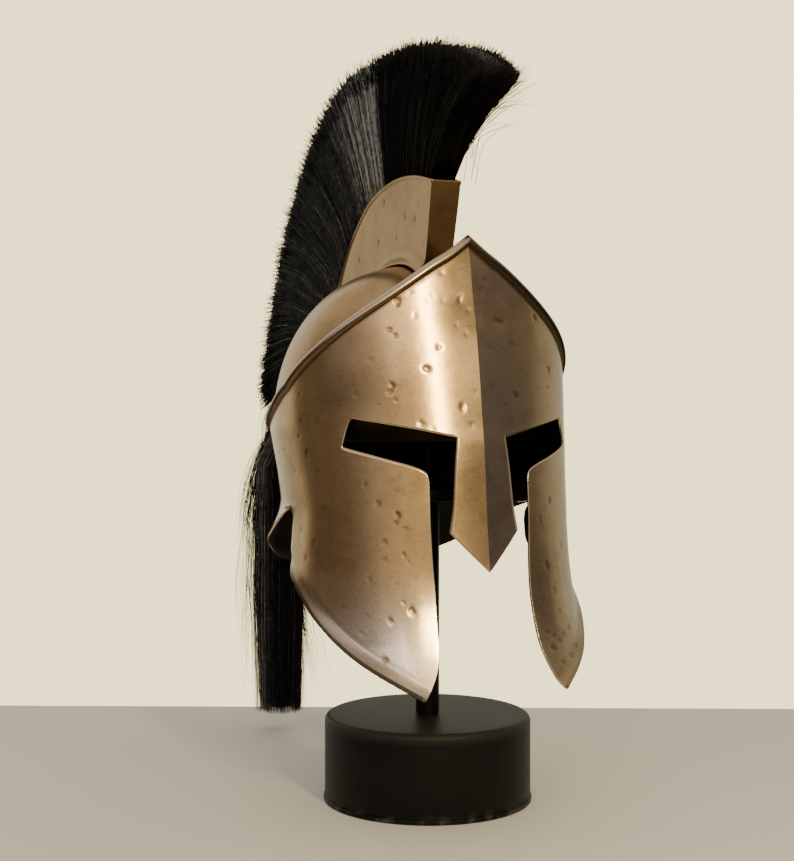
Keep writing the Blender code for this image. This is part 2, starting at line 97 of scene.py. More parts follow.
# Dents in the sheet: bearing, height, half width, half height, strength.
DENTS_RIGHT = [
    (11, 387, 2.9, 2.1, 0.3), (18, 381, 2.1, 2.1, 0.2), (23, 373, 2.1, 2.1, 0.3),
    (28, 366, 3.5, 3.5, 0.9), (11, 367, 1.5, 1.4, 0.3), (17, 367, 1.8, 1.8, 0.2),
    (5, 368, 2.2, 3.6, 0.6), (2, 360, 1.9, 2.1, 0.4), (7, 350, 1.8, 2.1, 0.3),
    (4, 344, 1.9, 2.1, 0.4), (22, 356, 1.8, 2.8, 0.3), (32, 346, 2.8, 2.1, 0.6),
    (30, 342, 2.8, 2.1, 0.6), (14, 334, 2.5, 2.4, 0.6), (21, 333, 1.1, 1.0, 0.2),
    (19, 319, 3.2, 3.1, 0.8), (32, 307, 2.4, 3.1, 0.8), (33, 303, 2.8, 2.8, 0.7),
    (31, 297, 1.7, 1.7, 0.4), (2, 303, 1.5, 1.7, 0.3), (7, 292, 2.5, 3.5, 0.7),
    (4, 280, 2.2, 2.1, 0.4), (22, 281, 2.1, 2.4, 0.6), (23, 280, 1.2, 1.2, 0.4),
    (18, 277, 1.7, 1.4, 0.4), (15, 370, 1.4, 1.4, 0.2), (27, 347, 1.4, 1.4, 0.2),
    (40, 325, 2.1, 2.1, 0.2), (47, 301, 2.2, 2.8, 0.2), (38, 294, 1.7, 1.7, 0.2),
    (47, 239, 1.8, 2.1, 0.5), (34, 235, 2.8, 2.1, 0.3), (42, 226, 2.8, 2.7, 0.5),
    (34, 218, 2.4, 2.7, 0.8), (35, 213, 2.4, 2.4, 0.6), (31, 209, 2.7, 2.0, 0.4),
    (40, 200, 2.8, 2.0, 0.4), (32, 191, 2.1, 2.7, 0.5), (40, 188, 2.8, 2.0, 0.3),
    (30, 186, 1.5, 1.5, 0.5), (46, 174, 2.1, 2.4, 0.3), (32, 159, 2.0, 2.0, 0.5),
    (29, 153, 3.3, 3.0, 0.8), (37, 147, 2.1, 2.6, 0.7), (39, 121, 2.4, 2.5, 0.6),
    (29, 113, 1.5, 1.6, 0.3), (46, 149, 2.1, 2.0, 0.2), (48, 138, 2.2, 2.0, 0.2),
    (56, 154, 1.9, 1.7, 0.2), (28, 174, 1.7, 1.7, 0.2), (35, 171, 2.1, 2.0, 0.2),
    (78, 283, 2.1, 2.8, 0.4), (82, 272, 2.0, 2.1, 0.3), (78, 259, 2.2, 3.5, 0.5),
    (98, 261, 3.0, 2.2, 0.3), (72, 247, 1.9, 2.1, 0.3), (99, 225, 3.0, 2.2, 0.3),
    (93, 205, 2.6, 2.2, 0.5), (79, 197, 2.6, 3.5, 0.3), (86, 186, 2.6, 2.5, 0.5),
    (71, 221, 1.8, 2.8, 0.2), (61, 187, 2.4, 2.8, 0.2), (65, 166, 2.6, 2.1, 0.2),
    (93, 247, 2.6, 2.1, 0.3), (54, 311, 1.5, 2.8, 0.2), (79, 301, 1.9, 2.1, 0.3),
    (67, 283, 1.8, 2.8, 0.2)]
DENTS_LEFT = [
    (15, 390, 2.0, 1.5, 0.3), (10, 391, 1.9, 1.4, 0.3), (11, 353, 3.8, 2.9, 0.6),
    (9, 354, 2.8, 2.2, 0.4), (16, 301, 3.3, 2.8, 0.7), (11, 294, 2.3, 1.7, 0.4),
    (39, 320, 3.0, 2.9, 0.6), (37, 307, 2.4, 1.8, 0.4), (31, 358, 2.8, 2.9, 0.6),
    (26, 370, 2.3, 1.8, 0.3), (16, 337, 2.6, 2.2, 0.3), (6, 383, 2.7, 2.2, 0.3),
    (5, 334, 2.2, 1.7, 0.3), (9, 329, 2.3, 2.1, 0.2), (5, 308, 2.7, 2.1, 0.2),
    (19, 319, 2.6, 2.2, 0.2), (36, 225, 2.7, 2.9, 0.5), (31, 179, 3.1, 3.6, 0.5),
    (46, 191, 3.2, 2.9, 0.3), (26, 122, 3.4, 2.2, 0.55), (40, 133, 4.0, 2.2, 0.45),
    (25, 133, 3.1, 1.7, 0.4), (28, 130, 3.4, 1.6, 0.4), (31, 126, 3.9, 1.6, 0.45),
    (36, 115, 4.0, 2.1, 0.4), (30, 112, 3.4, 1.7, 0.35), (42, 120, 3.6, 1.8, 0.35),
    (26, 155, 2.5, 2.1, 0.3), (34, 161, 3.1, 2.9, 0.25), (35, 146, 3.3, 2.1, 0.3),
    (28, 212, 2.5, 2.9, 0.2), (34, 130, 3.3, 2.1, 0.4)]
DENT_DEPTH = 0.56          # of the strongest dent
DENT_SIZE = 0.86           # of the sizes in the tables, where a dent's wall stands
SCALE = np.array([1.9, 1.0])   # mm round the sheet to a degree of bearing, and to one of height
CHEEK_TURN = [(0, -3.4), (6, -2.85), (14, -1.95), (24, -0.95), (42, 0.0)]   # by mm from its front
LIP_OUT, LIP_REACH = 3.3, 10.0      # the cheeks' rear edge turns out below
TUCK_IN, TUCK_REACH = 3.0, 8.0      # and in above, towards the ear
BEAD_OUT, BEAD_REACH = 1.3, 2.6     # the neck guard's edge
CHEEK_SHADE = {-1.0: 1.0, 1.0: 0.35}   # painted shade along the cheeks' lips, by side
NOTCH_SHADE, NOTCH_SHADE_AT = 0.9, (102, 218)   # and painted shade in the corner of the ear's notch, and where it lies
EAR_NOTCH = (101, 219)
RIM_SHADE = 0.74            # how dark the painted shade lies on the rolled rim's lower side and in the groove under it
SIDE_SHADE = 0.48           # and painted shade on the brow's side, a dark reflection on the right side only
PALE = {-1.0: 0.85, 1.0: 0.10}   # how far the cheeks' points have rubbed pale, by side
RIM_PALE, EAR_PALE = 0.7, 0.7    # and the rolled rim, and the edge behind the ear
BROW_ROWS, CHEEK_ROWS, TEMPLE_ROWS, NASAL_ROWS, GUARD_ROWS, ROLL_STEPS = 74, 92, 14, 60, 24, 16
RIDGE_COLUMNS, EYE_COLUMNS, CHEEK_EYE_COLUMNS, SIDE_COLUMNS, NAPE_COLUMNS = 13, 50, 40, 48, 38
FLANGE_OUT, FLANGE_TALL, FLANGE_GAP = 7.0, 11.0, 2.6   # the holder's rolled-out foot in front
CREST_DENTS = [   # bearing, radius, half width, half height, strength
    (80, 178, 1.1, 3.4, 1.0), (92, 160, 1.3, 3.2, 1.0), (98, 158, 1.1, 3.4, 0.9),
    (74, 152, 1.1, 3.2, 0.9), (100, 168, 1.0, 2.6, 0.7), (86, 146, 1.3, 2.4, 0.7),
    (60, 156, 1.3, 2.6, 0.8), (44, 152, 1.4, 2.8, 0.8), (30, 150, 1.3, 2.6, 0.6)]
DRUM_TOP, DRUM_RADIUS, DRUM_EDGE = 63.3, 77.0, 4.4
POST_RADIUS, POST_FOOT, POST_TOP = 8.8, 63.75, 363.2
PLATE_RADIUS, PLATE_FOOT, PLATE_TOP, PLATE_BORE, PLATE_EDGE = 40.0, 223.8, 232.8, 9.2, 0.8
HEAD_RADIUS, HEAD_RISE, HEAD_FOOT = 34.0, 24.0, 363.6

CHANNEL_SQUARE = 0.66      # how far a strand's middle leans to the square of the channel
DROOP, ARCH = 6.5, 8.0     # the rear strands' tips hang lower, their middles higher
SPREAD = [(0.0, 0.0), (0.10, 0.02), (0.30, 0.30), (0.55, 0.63), (0.86, 1.0), (1.2, 1.05)]
CROWN = [(0.0, 1.0), (0.5, 0.997), (0.75, 0.98), (0.9, 0.95), (1.0, 0.90)]   # trimmed by |lateral|
CLUMPS, TAIL_CLUMPS = 210, 64
SHEEN_START, SHEEN_FULL, SHEEN_END = 0.51, 0.62, 0.694   # the bunch with a painted grey sheen, by share of the crest
FRONT_LIMIT = (-np.inf, -127.0, -np.inf)   # no loose hair reaches further forward
FUZZ, FUZZ_REACH, FUZZ_SPLAY = 6800, 0.056, 4.6   # hairs, further out by share, sideways
HAIR_TONE, TONE_SPREAD = (0.23, 0.08), 0.15   # lightness behind the bunch's end and past it; the lighter tone behind is painted sheen
STRAND_WIDTH = (0.36, 0.62)
CORE_SHARE = 0.75          # of the tail's width that its core fills
BUNCHES = [   # name, strands, seed, first and last share of the crest, in the crown
    ("brush_rear", 6200, 11, 0.0, 0.42, False), ("brush_middle", 6000, 12, 0.40, 0.72, False),
    ("brush_front", 5600, 13, 0.70, 1.0, False), ("brush_crown", 6000, 14, 0.0, 1.0, True)]
STRAYS = [    # first and last share, hairs, how much longer, bearing's stray and its way
    (0.965, 1.0, 190, 0.02, 3.2, 1), (0.0, 0.62, 110, 0.10, 3.0, -1),
    (0.62, 0.95, 16, 0.0, 2.0, -1)]
WISPS = [     # hairs, thickness, then rows of (x, y, z) and how far hairs stray from it
    (210, 0.32, [(-4, 172, 312, 5), (-8, 225, 307, 7), (-11, 264, 299, 9), (-14, 279, 280, 9),
                 (-16, 278, 250, 9), (-16, 273, 215, 10), (-15, 271, 170, 13)]),
    (150, 0.30, [(-2, 225, 304, 24), (-6, 248, 290, 18), (-10, 262, 268, 13), (-13, 268, 236, 11),
                 (-14, 270, 196, 12), (-14, 271, 150, 13)]),
    (90, 0.38, [(-5, 222, 290, 8), (-12, 252, 278, 9), (-17, 268, 256, 9), (-19, 272, 225, 9),
                (-19, 272, 190, 10), (-18, 271, 150, 10)]),
    (150, 0.36, [(-8, 250, 284, 6), (-19, 270, 268, 8), (-31, 277, 236, 10), (-39, 277, 198, 11),
                 (-42, 274, 158, 12)]),
    (110, 0.28, [(-24, 270, 250, 6), (-33, 273, 200, 9), (-38, 272, 140, 12), (-36, 270, 90, 12),
                 (-36, 268, 30, 12)]),
    (80, 0.26, [(0, 268, 190, 6), (3, 270, 150, 8), (7, 270, 110, 10), (12, 270, 70, 13),
                (17, 268, 26, 16)])]

# The last is the colour of the painted shade that the mesh carries.
RUBBED, EDGE_METAL, SHADE_COLOUR = (0.76, 0.62, 0.50), (0.74, 0.60, 0.42), (0.030, 0.023, 0.016)
ROUND_ABOUT = [   # degrees from straight ahead towards the helmet's right, colour at eye level
    (-180, (0.98, 0.94, 0.72)), (-150, (0.84, 0.82, 0.62)), (-120, (0.55, 0.57, 0.47)),
    (-102, (0.50, 0.53, 0.44)), (-88, (0.37, 0.39, 0.33)), (-74, (0.17, 0.17, 0.14)),
    (-60, (0.13, 0.135, 0.16)), (-36, (0.135, 0.145, 0.185)), (-22, (0.36, 0.33, 0.27)),
    (0, (0.46, 0.42, 0.31)), (10, (0.78, 0.67, 0.44)), (24, (0.82, 0.71, 0.49)),
    (36, (0.59, 0.54, 0.42)), (46, (0.44, 0.42, 0.35)), (56, (0.285, 0.265, 0.235)),
    (68, (0.185, 0.165, 0.145)), (85, (0.165, 0.14, 0.11)), (118, (0.165, 0.15, 0.115)),
    (132, (0.24, 0.22, 0.17)), (142, (0.44, 0.42, 0.33)), (154, (0.68, 0.64, 0.50)),
    (166, (0.78, 0.74, 0.56)), (180, (0.98, 0.94, 0.72))]
SKY, SKY_SHARE = (0.70, 0.63, 0.52), [(8, 0.0), (20, 0.11), (35, 0.45), (50, 0.70), (90, 1.0)]
GROUND, GROUND_SHARE = (0.075, 0.048, 0.028), [(-90, 1.0), (-14, 1.0), (-2, 0.0)]
STUDIO_LIGHT, BACKDROP, BACKDROP_LIGHT = 1.0, (1.0, 0.84, 0.46, 1.0), 2.6
LAMPS = [     # name, bearing, rise, metres away, target, size in metres, strength, colour
    ("strip", 5, 19, 1.4, (0, 0, 0.30), (0.075, 0.50), 70.0, (1.0, 0.80, 0.38)),
    ("brow_panel", -11, 18, 1.4, (0, 0, 0.30), (0.40, 0.26), 1.1, (1.0, 0.93, 0.52)),
    ("halo_panel", 20, 24, 1.4, (0, 0, 0.30), (0.50, 0.34), 1.1, (1.0, 0.88, 0.62)),
    ("cool_panel", 52, 30, 1.6, (0, 0, 0.2), (1.6, 0.52), 1.2, (0.95, 0.93, 1.0))]
CAMERA_PLACE, CAMERA_TURN = (-0.4935, -0.9685, 0.289), (90 - 0.731, 0.0, -25.795)
CAMERA_LENS, CAMERA_SENSOR, CAMERA_RANGE = 60.63, 36.0, 60.0   # mm, mm, metres
FLOOR_HALF, FLOOR_REAR, FLOOR_LEVEL, FLOOR_TURN = 0.43, 0.33, -0.0002, -27.0   # metres, degrees


# ---------- numbers and tables
def blend(value, start, end):
    """0 at start and 1 at end, either way round, with easy ends: 3t^2 - 2t^3."""
    t = np.clip((value - start) / (end - start), 0.0, 1.0)
    return t * t * (3.0 - 2.0 * t)


def fade(away, reach, power):
    """1 at no distance down to 0 at the reach, to a power."""
    return np.clip(1.0 - away / reach, 0.0, 1.0) ** power


def bell(value, middle, width):
    """1 at the middle, e^-1 at a width from it."""
    return np.exp(-((value - middle) / width) ** 2)


def part_way(a, b, share):
    """From a at share 0 to b at share 1, in a straight line."""
    return a * (1 - share) + b * share


def places(*columns):
    """Coordinates, spread to one shape, as an array whose last axis runs over them."""
    return np.stack(np.broadcast_arrays(*columns), axis=-1)


def unit(vectors):
    """Vectors brought to length 1."""
    return vectors / np.maximum(np.linalg.norm(vectors, axis=-1, keepdims=True), 1e-9)


def hermite(t, a, b, slope_a, slope_b):
    """The cubic from a at t = 0 to b at t = 1 with these slopes."""
    return (a * (1 + 2 * t) * (1 - t) ** 2 + slope_a * t * (1 - t) ** 2
            + b * t * t * (3 - 2 * t) - slope_b * t * t * (1 - t))


def smooth_table(x, column_x, column_y):
    """Read a table with a monotone cubic Hermite: no overshoot between its rows."""
    x, cx, cy = (np.asarray(column, float) for column in (x, column_x, column_y))
    step = np.diff(cx)
    slope = np.diff(cy) / step
    same = slope[:-1] * slope[1:] > 0
    both = np.where(same, slope[:-1] + slope[1:], 1.0)
    mean = np.where(same, 2.0 * slope[:-1] * slope[1:] / both, 0.0)
    tangent = np.concatenate([slope[:1], mean, slope[-1:]])
    k = np.clip(np.searchsorted(cx, x) - 1, 0, len(cx) - 2)
    return hermite((x - cx[k]) / step[k], cy[k], cy[k + 1], step[k] * tangent[k],
                   step[k] * tangent[k + 1])


def look_up(x, table, column=1, key=0):
    """A column of a table, read by another."""
    table = np.asarray(table, float)
    return smooth_table(x, table[:, key], table[:, column])


def read_rows(share, table):
    """Every column of a table at shares 0 (its first row) to 1 (its last)."""
    return [smooth_table(share, np.linspace(0, 1, len(table)), column) for column in table.T]


# ---------- the raised sheet
def wall_base(bearing, height):
    """Base form: a pointed arc in front and an ellipse behind, read from the level sections."""
    half, ridge, widest, nape = (look_up(height, SECTIONS, i) for i in range(1, 5))
    start = np.arcsin(CREASE / (half + CREASE))
    turn, quarter = np.radians(bearing), math.pi / 2
    front = start + (quarter - start) * np.minimum(turn, quarter) / quarter
    back = np.maximum(turn, quarter)
    x = np.where(turn <= quarter, (half + CREASE) * np.sin(front) - CREASE, half * np.sin(back))
    y = np.where(turn <= quarter, widest - (widest - ridge) / np.cos(start) * np.cos(front),
                 widest - (nape - widest) * np.cos(back))
    return places(x, y, height)


def wall_point(bearing, height, lift):
    """Base form moved along its level outward normal by the lift and the neck guard's flare."""
    along = wall_base(np.minimum(bearing + 0.5, 180.0), height) \
        - wall_base(np.maximum(bearing - 0.5, 0.0), height)
    normal = unit(places(along[..., 1], -along[..., 0], 0.0))
    normal[..., 0] = np.where((bearing <= 0.0) | (bearing >= 180.0), 0.0, normal[..., 0])
    flare = NECK_FLARE * blend(bearing, 100, 124) * blend(height, 226, 182)
    return wall_base(bearing, height) + normal * (lift + flare)[..., None]


def outline(points, count):
    """count points along an outline, evenly by length, each coordinate a monotone cubic."""
    points = np.array(points, float)
    gaps = np.linalg.norm(np.diff(points * SCALE, axis=0), axis=1)
    length = np.concatenate([[0], np.cumsum(gaps)])
    at = np.linspace(0, length[-1], count)
    return places(*(smooth_table(at, length, column) for column in points.T))


def along_line(points, bearings):
    """(bearing, height) rows of an outline at given bearings, by monotone cubic."""
    return places(bearings, look_up(bearings, points))


def coons(top, bottom, left, right):
    """Fill four outlines that share corners: both rulings added, the corner bilinear taken off."""
    u = np.linspace(0, 1, len(top))[:, None]
    corners = between(part_way(top[0], top[-1], u), part_way(bottom[0], bottom[-1], u), len(left))
    return part_way(left[:, None], right[:, None], u) + between(top, bottom, len(left)) - corners


def between(upper, lower, rows):
    """Rows of points from one line of the sheet down to another."""
    return part_way(upper, lower, np.linspace(0, 1, rows)[:, None, None])


def distance_to(grid, line):
    """Distance over the sheet from each (bearing, height) of a grid to a dense outline."""
    flat = grid.reshape(-1, 1, 2) * SCALE
    near = np.full(len(flat), 1e9)
    for start in range(0, len(line), 40):
        gap = np.linalg.norm(flat - line[None, start:start + 40] * SCALE, axis=-1).min(axis=1)
        near = np.minimum(near, gap)
    return near.reshape(grid.shape[:2])


def from_place(grid, bearing, height):
    """Distance over the sheet from each point of a grid to one place."""
    return np.hypot((grid[..., 0] - bearing) * SCALE[0], grid[..., 1] - height)


def brow_patch(foot, bearings, side):
    """Brow and band: from the rolled rim to the foot line; the roll is a part circle of
    ROLL_RADIUS, lift r cos(a), drop r (1 - sin(a)), with a from the inside over to the sheet."""
    rim = along_line(RIM, bearings)
    slope = np.gradient(rim[:, 1], bearings * SCALE[0])
    lengthen = np.polyval(np.polyfit(bearings, np.sqrt(1.0 + slope ** 2), 6), bearings)
    angle = np.radians(np.linspace(195, -78, ROLL_STEPS))[:, None]
    drop = ROLL_RADIUS * (1.0 - np.sin(angle)) * lengthen
    below = rim - places(0.0, (2 * ROLL_RADIUS + 0.25) * lengthen)
    band = between(below, foot, BROW_ROWS)
    lift = np.concatenate([np.broadcast_to(ROLL_RADIUS * np.cos(angle), drop.shape),
                           np.zeros(band.shape[:2])])
    # Painted shade: on the roll's lower side, which faces down, and in the groove under the roll.
    if side < 0:
        under = blend(angle, 0.75, -0.35) * (0.45 + 0.55 * blend(bearings, 8, 40))
    else:
        under = np.broadcast_to(1.25 * blend(angle, 1.15, -0.2), drop.shape)
    # Painted shade: a dark reflection on the right brow's side.
    brow_side_shade = SIDE_SHADE * (side < 0) * blend(bearings, 22, 42) * blend(bearings, 70, 54) \
        * blend(band[..., 1], 284, 300)
    groove_shade = bell((below[:, 1] - band[..., 1]) / lengthen, 0.0, 2.0)
    brow_shade = np.concatenate([RIM_SHADE * under, np.maximum(RIM_SHADE * groove_shade, brow_side_shade)])
    return np.concatenate([rim - places(0.0, drop), band]), lift, brow_shade


def half_sheet(side):
    """The patches of one half: (grid of bearing and height, lift, painted shade)."""
    (slot, slot_top), eye_end, ear = EYE_TOP[0], EYE_TOP[-1][0], EAR_LINE[2][0]
    over_eye = np.linspace(slot, eye_end, EYE_COLUMNS)
    nape = np.linspace(ear, 180.0, NAPE_COLUMNS)[1:]
    bearings = np.concatenate([np.linspace(0, slot, RIDGE_COLUMNS), over_eye[1:],
                               np.linspace(eye_end, ear, SIDE_COLUMNS)[1:], nape])
    foot = np.concatenate([places(bearings[:RIDGE_COLUMNS - 1], slot_top),
                           along_line(EYE_TOP, over_eye),
                           along_line(BAND_FOOT, bearings[RIDGE_COLUMNS + EYE_COLUMNS - 1:])])
    flank = np.linspace(EAR_LINE[0][0], ear, SIDE_COLUMNS)
    ear_line = along_line(EAR_LINE, np.concatenate([flank, nape]))
    temple = between(foot[-len(ear_line):], ear_line, TEMPLE_ROWS)

    cheek_top = np.concatenate([outline(EYE_BOTTOM, CHEEK_EYE_COLUMNS), ear_line[1:SIDE_COLUMNS]])
    front, rear = outline(CHEEK_FRONT, CHEEK_ROWS), outline(CHEEK_REAR, CHEEK_ROWS)
    cheek = coons(cheek_top, np.linspace(front[-1], rear[-1], len(cheek_top)), front, rear)
    ridge = np.linspace((0, slot_top), NASAL_TIP, NASAL_ROWS)
    nasal = between(ridge, outline(NASAL_EDGE, NASAL_ROWS), RIDGE_COLUMNS).transpose(1, 0, 2)
    guard_top = ear_line[SIDE_COLUMNS - 1:]
    guard = between(guard_top, outline(GUARD_EDGE, len(guard_top)), GUARD_ROWS)

    height = cheek[..., 1]
    away = distance_to(cheek, outline(CHEEK_REAR, 400))
    lift = LIP_OUT * fade(away, LIP_REACH, 1.8) * blend(height, 186, 166) \
        - TUCK_IN * fade(away, TUCK_REACH, 1.5) * blend(height, 168, 184) * blend(height, 219, 211)
    from_front = np.minimum(distance_to(cheek, outline(CHEEK_FRONT, 300)), 40.0)
    lift += look_up(from_front, CHEEK_TURN) * blend(height, 232, 140)
    bead = BEAD_OUT * fade(distance_to(guard, outline(GUARD_EDGE, 200)), BEAD_REACH, 0.5) \
        * blend(guard[..., 0], 101, 106)
    # Painted shade along the cheeks' turned-out lips: at the edge and in the valley behind it.
    lip = 0.5 * blend(away, 9.5, 7.5) * blend(height, 104, 118)
    lip = np.maximum(np.maximum(0.92 * np.clip((2.8 - away) / 0.9, 0, 1), lip),
                     0.30 * bell(away, 10.5, 2.2))
    # Painted shade in the corner of the ear's notch, on the cheek and the neck guard.
    notch_shade, guard_shade = (NOTCH_SHADE * bell(from_place(grid, *NOTCH_SHADE_AT), 0.0, 9.0)
                         for grid in (cheek, guard))
    cheek_shade = np.maximum(CHEEK_SHADE[side] * blend(height, 182, 168) * lip, notch_shade)
    return [brow_patch(foot, bearings, side), (cheek, lift, cheek_shade), (guard, bead, guard_shade),
            *((grid, 0 * grid[..., 0], 0 * grid[..., 0]) for grid in (temple, nasal))]


def dent_field(grid, dents):
    """Sum of craters: -depth e^(-q^4) with a low raised lip at q = 1.4, q the elliptic distance,
    pulled out of round by its bearing. Returns the displacement in mm, the least q and its
    dent's strength, which the finish reads."""
    shape = grid.shape[:2]
    rise, least, power = np.zeros(shape), np.full(shape, 3.0), np.zeros(shape)
    dice = np.random.default_rng(7)
    for bearing, height, wide, tall, strength in dents:
        here = wall_base(np.array([bearing, bearing + 1.0]), np.full(2, float(height)))
        phase, pull = dice.uniform(0, 2 * math.pi, 2), dice.uniform(0.05, 0.18, 2)
        dx = (grid[..., 0] - bearing) * np.linalg.norm(here[1] - here[0]) / (wide * DENT_SIZE)
        dz = (grid[..., 1] - height) / (tall * DENT_SIZE)
        near = (np.abs(dx) < 3) & (np.abs(dz) < 3)
        dx, dz = dx[near], dz[near]
        turn = np.arctan2(dz, dx)
        q = np.hypot(dx, dz) * (1 + pull[0] * np.sin(2 * turn + phase[0])
                                + pull[1] * np.sin(3 * turn + phase[1]))
        rise[near] += DENT_DEPTH * strength * (0.06 * bell(q, 1.4, 0.4) - np.exp(-q ** 4))
        nearer = q < least[near]
        least[near] = np.where(nearer, q, least[near])
        power[near] = np.where(nearer, strength, power[near])
    return rise, least, power


def scattered_dents(seed, count=34):
    """Dents behind the ear, where the sheet's edges leave room, from a seeded draw."""
    dice = np.random.default_rng(seed)
    bearing, height, size, strength, stretch = (
        dice.uniform(low, high, count) for low, high in
        ((106, 174), (196, 268), (1.4, 3.2), (0.2, 0.75), (0.75, 1.3)))
    return list(zip(bearing, height, size * stretch, size / stretch, strength))


# ---------- meshes
def grid_faces(rows, columns, start=0, flip=False, closed=False):
    """Quads of a grid [row, column], rows running down, seen from outside left to right."""
    r = np.arange(rows - 1)[:, None]
    c = np.arange(columns if closed else columns - 1)[None, :]
    n = (c + 1) % columns
    quad = np.stack([r * columns + c, (r + 1) * columns + c, (r + 1) * columns + n,
                     r * columns + n], axis=-1).reshape(-1, 4) + start
    return quad[:, ::-1] if flip else quad


def new_object(name, data):
    """An object at the origin, in the scene."""
    item = bpy.data.objects.new(name, data)
    bpy.context.scene.collection.objects.link(item)
    return item


def make_piece(name, points, materials, node=None, attributes=(), uv=None, blocks=None,
               weld=None, outward=False, angle=None, thickness=None):
    """A mesh of whole arrays: points, weld and thickness in mm, attributes per point, uv in metres,
    and blocks of faces, or else points are a grid that closes round; outward turns a closed mesh's
    faces out. The thickness goes inwards and its inner side takes the second material. The piece
    rides on the body and may stand for a CAD node."""
    blocks = blocks or [grid_faces(*points.shape[:2], closed=True)]
    mesh = bpy.data.meshes.new(name)
    mesh.from_pydata((points.reshape(-1, 3) * MM).tolist(), [],
                     [face for block in blocks for face in block.tolist()])
    for key, values in dict(attributes).items():
        layer = mesh.attributes.new(key, "FLOAT", "POINT")
        layer.data.foreach_set("value", values.astype(np.float32).ravel())
    if uv is not None:
        corner = np.empty(len(mesh.loops), dtype=np.int32)
        mesh.loops.foreach_get("vertex_index", corner)
        layer = mesh.uv_layers.new(name="grain")
        layer.data.foreach_set("uv", uv.reshape(-1, 2)[corner].astype(np.float32).ravel())
    if weld:
        bm = bmesh.new()
        bm.from_mesh(mesh)
        bmesh.ops.remove_doubles(bm, verts=bm.verts, dist=weld * MM)
        bmesh.ops.dissolve_degenerate(bm, edges=bm.edges, dist=1e-7)
        if outward:
            bmesh.ops.recalc_face_normals(bm, faces=bm.faces)
        bm.to_mesh(mesh)
        bm.free()
    mesh.shade_smooth()
    if angle:
        mesh.set_sharp_from_angle(angle=math.radians(angle))
    piece = new_object(name, mesh)
    for item in materials:
        mesh.materials.append(item)
    if thickness:
        modifier = piece.modifiers.new("thickness", "SOLIDIFY")
        modifier.thickness = thickness * MM
        modifier.offset = -1.0
        modifier.use_even_offset = False
        modifier.material_offset = 1
    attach(piece, "root")
    if node:
        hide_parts(node)
    return piece


def join(patches):
    """One mesh's arrays, points, blocks of faces, uv in metres and layers, from patches of
    (grid of points, flip, grid of uv in mm, layers...)."""
    grids, flips, *columns = zip(*patches)
    starts = np.cumsum([0] + [grid[..., 0].size for grid in grids])
    blocks = [grid_faces(*grid.shape[:2], start, flip)
              for grid, start, flip in zip(grids, starts, flips)]
    points, uv = (np.concatenate([part.reshape(-1, part.shape[-1]) for part in column])
                  for column in (grids, columns[0]))
    return points, blocks, uv * MM, [np.concatenate([part.ravel() for part in column])
                                     for column in columns[1:]]


def rubbed_pale(grid, side):
    """How far the metal has rubbed pale: the cheeks' points, the brow's roll, the ear's edge."""
    bearing, height = grid[..., 0], grid[..., 1]
    point = PALE[side] * blend(height, 186, 128) * blend(bearing, 112, 96)
    roll = RIM_PALE * blend(height - look_up(bearing, RIM), -7.5, -3.0) * blend(height, 262, 272)
    ear = EAR_PALE * (height < 221) * blend(bearing, 100, 103) * blend(bearing, 136, 124)
    return np.maximum(np.maximum(point, roll), ear)


def make_helmet():
    """Both halves of the sheet, welded on the ridge and at the nape, then thickened."""
    edges = np.concatenate([
        outline(EYE_BOTTOM, 160), outline(CHEEK_FRONT, 300), outline(NASAL_EDGE, 160),
        along_line(EYE_TOP, np.linspace(EYE_TOP[0][0], EYE_TOP[-1][0], 160)),
        outline(CHEEK_REAR, 400), outline(GUARD_EDGE, 300),
        np.linspace(BAND_FOOT[0], EAR_LINE[0], 40), np.linspace(NASAL_EDGE[-1], NASAL_TIP, 60)])
    patches = []
    for side, dents in ((-1.0, DENTS_RIGHT + scattered_dents(3)),
                        (1.0, DENTS_LEFT + scattered_dents(4))):
        for grid, lift, painted_shade in half_sheet(side):
            bearing, height = grid[..., 0], grid[..., 1]
            rise, nearest, strength = dent_field(grid, dents)
            wear = np.exp(-distance_to(grid, edges) / 1.1) * (1 - painted_shade) \
                * blend(from_place(grid, *EAR_NOTCH), 4, 12)
            patches.append((wall_point(bearing, height, lift + rise) * (side, 1.0, 1.0), side < 0,
                            grid * SCALE * (side, 1.0), nearest, strength, wear, painted_shade,
                            rubbed_pale(grid, side)))
    points, blocks, uv, layers = join(patches)
    piece = make_piece("helmet_sheet", points, [BRONZE, BRONZE_INSIDE], "helmet_wall",
                       zip(("dent", "power", "wear", "painted_shade", "pale"), layers), uv, blocks,
                       weld=0.03, angle=50.0, thickness=WALL_THICKNESS)
    mark_fold(piece.data)


def mark_fold(mesh):
    """Make the fold down the middle of the face crisp."""
    place = np.empty(len(mesh.vertices) * 3, np.float32)
    ends = np.empty(len(mesh.edges) * 2, np.int32)
    sharp = np.empty(len(mesh.edges), bool)
    mesh.vertices.foreach_get("co", place)
    mesh.edges.foreach_get("vertices", ends)
    mesh.edges.foreach_get("use_edge_sharp", sharp)
    on_fold = (np.abs(place[::3]) < 0.02 * MM) & (place[1::3] < 0)
    mesh.edges.foreach_set("use_edge_sharp", sharp | on_fold[ends.reshape(-1, 2)].all(axis=1))


def bowl_radius(bearing, half_x):
    """Distance in the side view from the bowl's centre to its outside, half_x to one side."""
    turn = np.radians(bearing)
    reach = np.where(np.cos(turn) > 0, BOWL_REACH[1], BOWL_REACH[0])
    left = 1.0 - (half_x / BOWL_HALF_WIDTH) ** 2
    flat = np.abs([np.cos(turn) / reach, np.sin(turn) / BOWL_RISE]) ** BOWL_POWER
    return (left ** (BOWL_POWER / 2) / flat.sum(axis=0)) ** (1.0 / BOWL_POWER)


